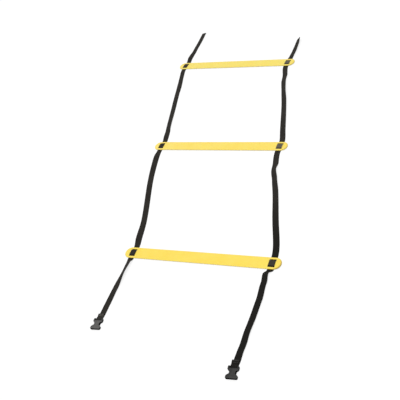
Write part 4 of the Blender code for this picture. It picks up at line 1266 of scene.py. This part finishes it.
# %% Sew both loops
THREAD_RADIUS = 0.0003
STITCH_SWING = 0.0011
STITCH_WAVES = 10
STITCH_ROW_MARGIN = 0.0028
STITCH_ROW_SPACING = 0.0046
STITCH_EDGE_MARGIN = 0.0006
POINTS_PER_STITCH = 8
THREAD_SIDES = 8
HOLE_DEPTH = 0.0006
THREAD_RISE = 0.00012
# One thread in two lights: the left's colours are painted lighter and the right's are a painted shade.
LIT_AND_SHADED_THREAD_DARK = {"left": (0.07, 0.067, 0.06), "right": (0.010, 0.0095, 0.0085)}
LIT_AND_SHADED_THREAD_LIGHT = {"left": (0.20, 0.19, 0.17), "right": (0.045, 0.042, 0.038)}
THREAD_TWIST = 0.6


def stitch_path():
    """Across, along and height of the thread: a triangle wave, a half-round turn, and the wave back."""
    turn_radius = STITCH_ROW_SPACING / 2
    reach = STRAP_WIDTH / 2 - STITCH_EDGE_MARGIN - THREAD_RADIUS - turn_radius
    stitches = 2 * STITCH_WAVES
    u = np.linspace(0, stitches, stitches * POINTS_PER_STITCH + 1)
    wave = STITCH_SWING * (1 - 2 * np.abs(u % 2 - 1))
    arch = np.abs(np.sin(math.pi * u)) ** 0.5
    row = np.column_stack([reach * (2 * u / stitches - 1), wave, arch])
    angle = np.linspace(-math.pi / 2, math.pi / 2, 3 * POINTS_PER_STITCH)[1:-1]
    bow_along = turn_radius * (1 + np.sin(angle)) - STITCH_SWING * np.cos(angle) ** 2
    bow_arch = np.abs(np.sin(1.5 * (angle - math.pi / 2))) ** 0.5
    bow = np.column_stack([reach + turn_radius * np.cos(angle), bow_along, bow_arch])
    return np.vstack([row, bow, row[::-1] + [0.0, STITCH_ROW_SPACING, 0.0]])


def thread_material(side):
    material, nodes, shader = new_material(f"sewing_thread_{side}")
    twist = nodes.add("Mapping", {
        "Vector": nodes.add("UVMap", uv_map="lie"), "Rotation": (0.0, 0.0, THREAD_TWIST)})
    plies = nodes.add("TexWave", {"Vector": twist, "Scale": 2.2, "Distortion": 0.6}, out="Fac")
    nodes.feed(shader, {
        "Base Color": nodes.mix(plies, LIT_AND_SHADED_THREAD_DARK[side], LIT_AND_SHADED_THREAD_LIGHT[side]),
        "Normal": nodes.bump(plies, strength=0.8, distance=0.00008),
        "Roughness": 0.55,
        "Specular IOR Level": 0.25,
    })
    return material


def dress_stitching(side):
    """A round tube of thread on top of the sewn-down layer."""
    bar, along_bar, way = buckle_place(side)
    path = stitch_path()
    back = FOLD_BACK_SLOPE + FOLD_BACK_FLAT - STITCH_ROW_MARGIN - path[:, 1]
    shift = path[:, 0] - back * math.tan(FOLD_BACK_SKEW)
    plan = bar[:2] - back[:, None] * way[:2] - shift[:, None] * along_bar[:2]
    bottom = FOLD_BACK_LIE + STRAP_LIE - HOLE_DEPTH
    centres = np.column_stack([plan, bottom + (HOLE_DEPTH + THREAD_RISE) * path[:, 2]])
    forward = unit(np.gradient(centres, axis=0))
    across = unit(np.cross(forward, UP))
    rise = np.cross(across, forward)
    turn = np.linspace(0, 2 * math.pi, THREAD_SIDES, endpoint=False)
    ring = across[:, None] * np.cos(turn)[:, None] + rise[:, None] * np.sin(turn)[:, None]
    points = (centres[:, None] + THREAD_RADIUS * ring).reshape(-1, 3)
    run = distances(centres) / (2 * math.pi * THREAD_RADIUS)
    uv = np.stack(np.broadcast_arrays(turn / (2 * math.pi), run[:, None]), -1).reshape(-1, 2)
    loop = np.arange(THREAD_SIDES)
    caps = [loop, loop[::-1] + (len(centres) - 1) * THREAD_SIDES]
    quads = tube_quads(len(centres), THREAD_SIDES)[:, ::-1]
    thread = make_piece(f"thread_{side}", points, quads, thread_material(side), caps, uv)
    declare_rigid(thread, "near_straps", f"stitching_{side}")


for side in SIDES:
    dress_stitching(side)

# %% [markdown]
# ## Floor and light
#
# The ladder was photographed on white, with light from all round and hardly a shadow. The lamps and
# the world are kept at the level where a colour renders about as it is written. The floor is a mid
# grey that takes the shadows, faint because it is no lighter, and an emission that only the camera and
# reflections see lifts it to white. Seen from below it lets the view through.

# %% Set the stage
FLOOR_HALF = 6.0
FLOOR_DROP = 0.0002
FLOOR_GREY = 0.30
FLOOR_LIFT = 0.745
WORLD_LIGHT = 0.68
WHITE = (1.0, 1.0, 1.0, 1.0)
LAMPS = (
    ("overhead", (0.5, -0.2, 2.6), 3.0, 30.0),
    ("front_fill", (1.8, -2.0, 1.6), 1.6, 9.0),
    ("far_fill", (-2.2, 1.6, 1.4), 1.4, 6.4),
)


def seen_directly(nodes):
    """1 for camera, glossy and transmission rays, 0 for the rays that light surfaces."""
    path = nodes.add("LightPath", out=None)
    most = nodes.math("MAXIMUM", path["Is Camera Ray"], path["Is Glossy Ray"])
    return nodes.math("MAXIMUM", most, path["Is Transmission Ray"])


def floor_material():
    material, nodes, _ = new_material("floor")
    nodes.tree.nodes.remove(nodes.tree.nodes["Principled BSDF"])
    grey = nodes.add("BsdfDiffuse", {"Color": (FLOOR_GREY, FLOOR_GREY, FLOOR_GREY, 1.0)})
    lift = nodes.times(seen_directly(nodes), FLOOR_LIFT)
    lit = nodes.add("AddShader", {0: grey, 1: nodes.add("Emission", {"Color": WHITE, "Strength": lift})})
    from_below = nodes.add("NewGeometry", out="Backfacing")
    shown = nodes.add("MixShader", {0: from_below, 1: lit, 2: nodes.add("BsdfTransparent")})
    nodes.feed(nodes.tree.nodes["Material Output"].inputs, {"Surface": shown})
    return material


def add_floor():
    corners = np.array([(-1, -1), (1, -1), (1, 1), (-1, 1)]) * FLOOR_HALF
    points = np.column_stack([corners, np.full(4, -FLOOR_DROP)])
    make_piece("floor", points, np.array([[0, 1, 2, 3]]), floor_material())


def add_lights():
    """A white world, and square lamps that look at the middle of the floor."""
    world = bpy.data.worlds.new("studio")
    world.use_nodes = True
    bpy.context.scene.world = world
    nodes = Nodes(world.node_tree)
    strength = nodes.math("MULTIPLY_ADD", seen_directly(nodes), 1.0 - WORLD_LIGHT, WORLD_LIGHT)
    nodes.feed(world.node_tree.nodes["Background"].inputs, {"Color": WHITE, "Strength": strength})
    for name, place, size, power in LAMPS:
        data = bpy.data.lights.new(name, "AREA")
        data.shape, data.size, data.energy = "SQUARE", size, power
        back = unit(np.array(place))
        across = unit(np.cross(UP, back))
        stand(name, data, place, (across, np.cross(back, across), back))


add_floor()
add_lights()
bpy.context.scene.view_settings.view_transform = "Standard"
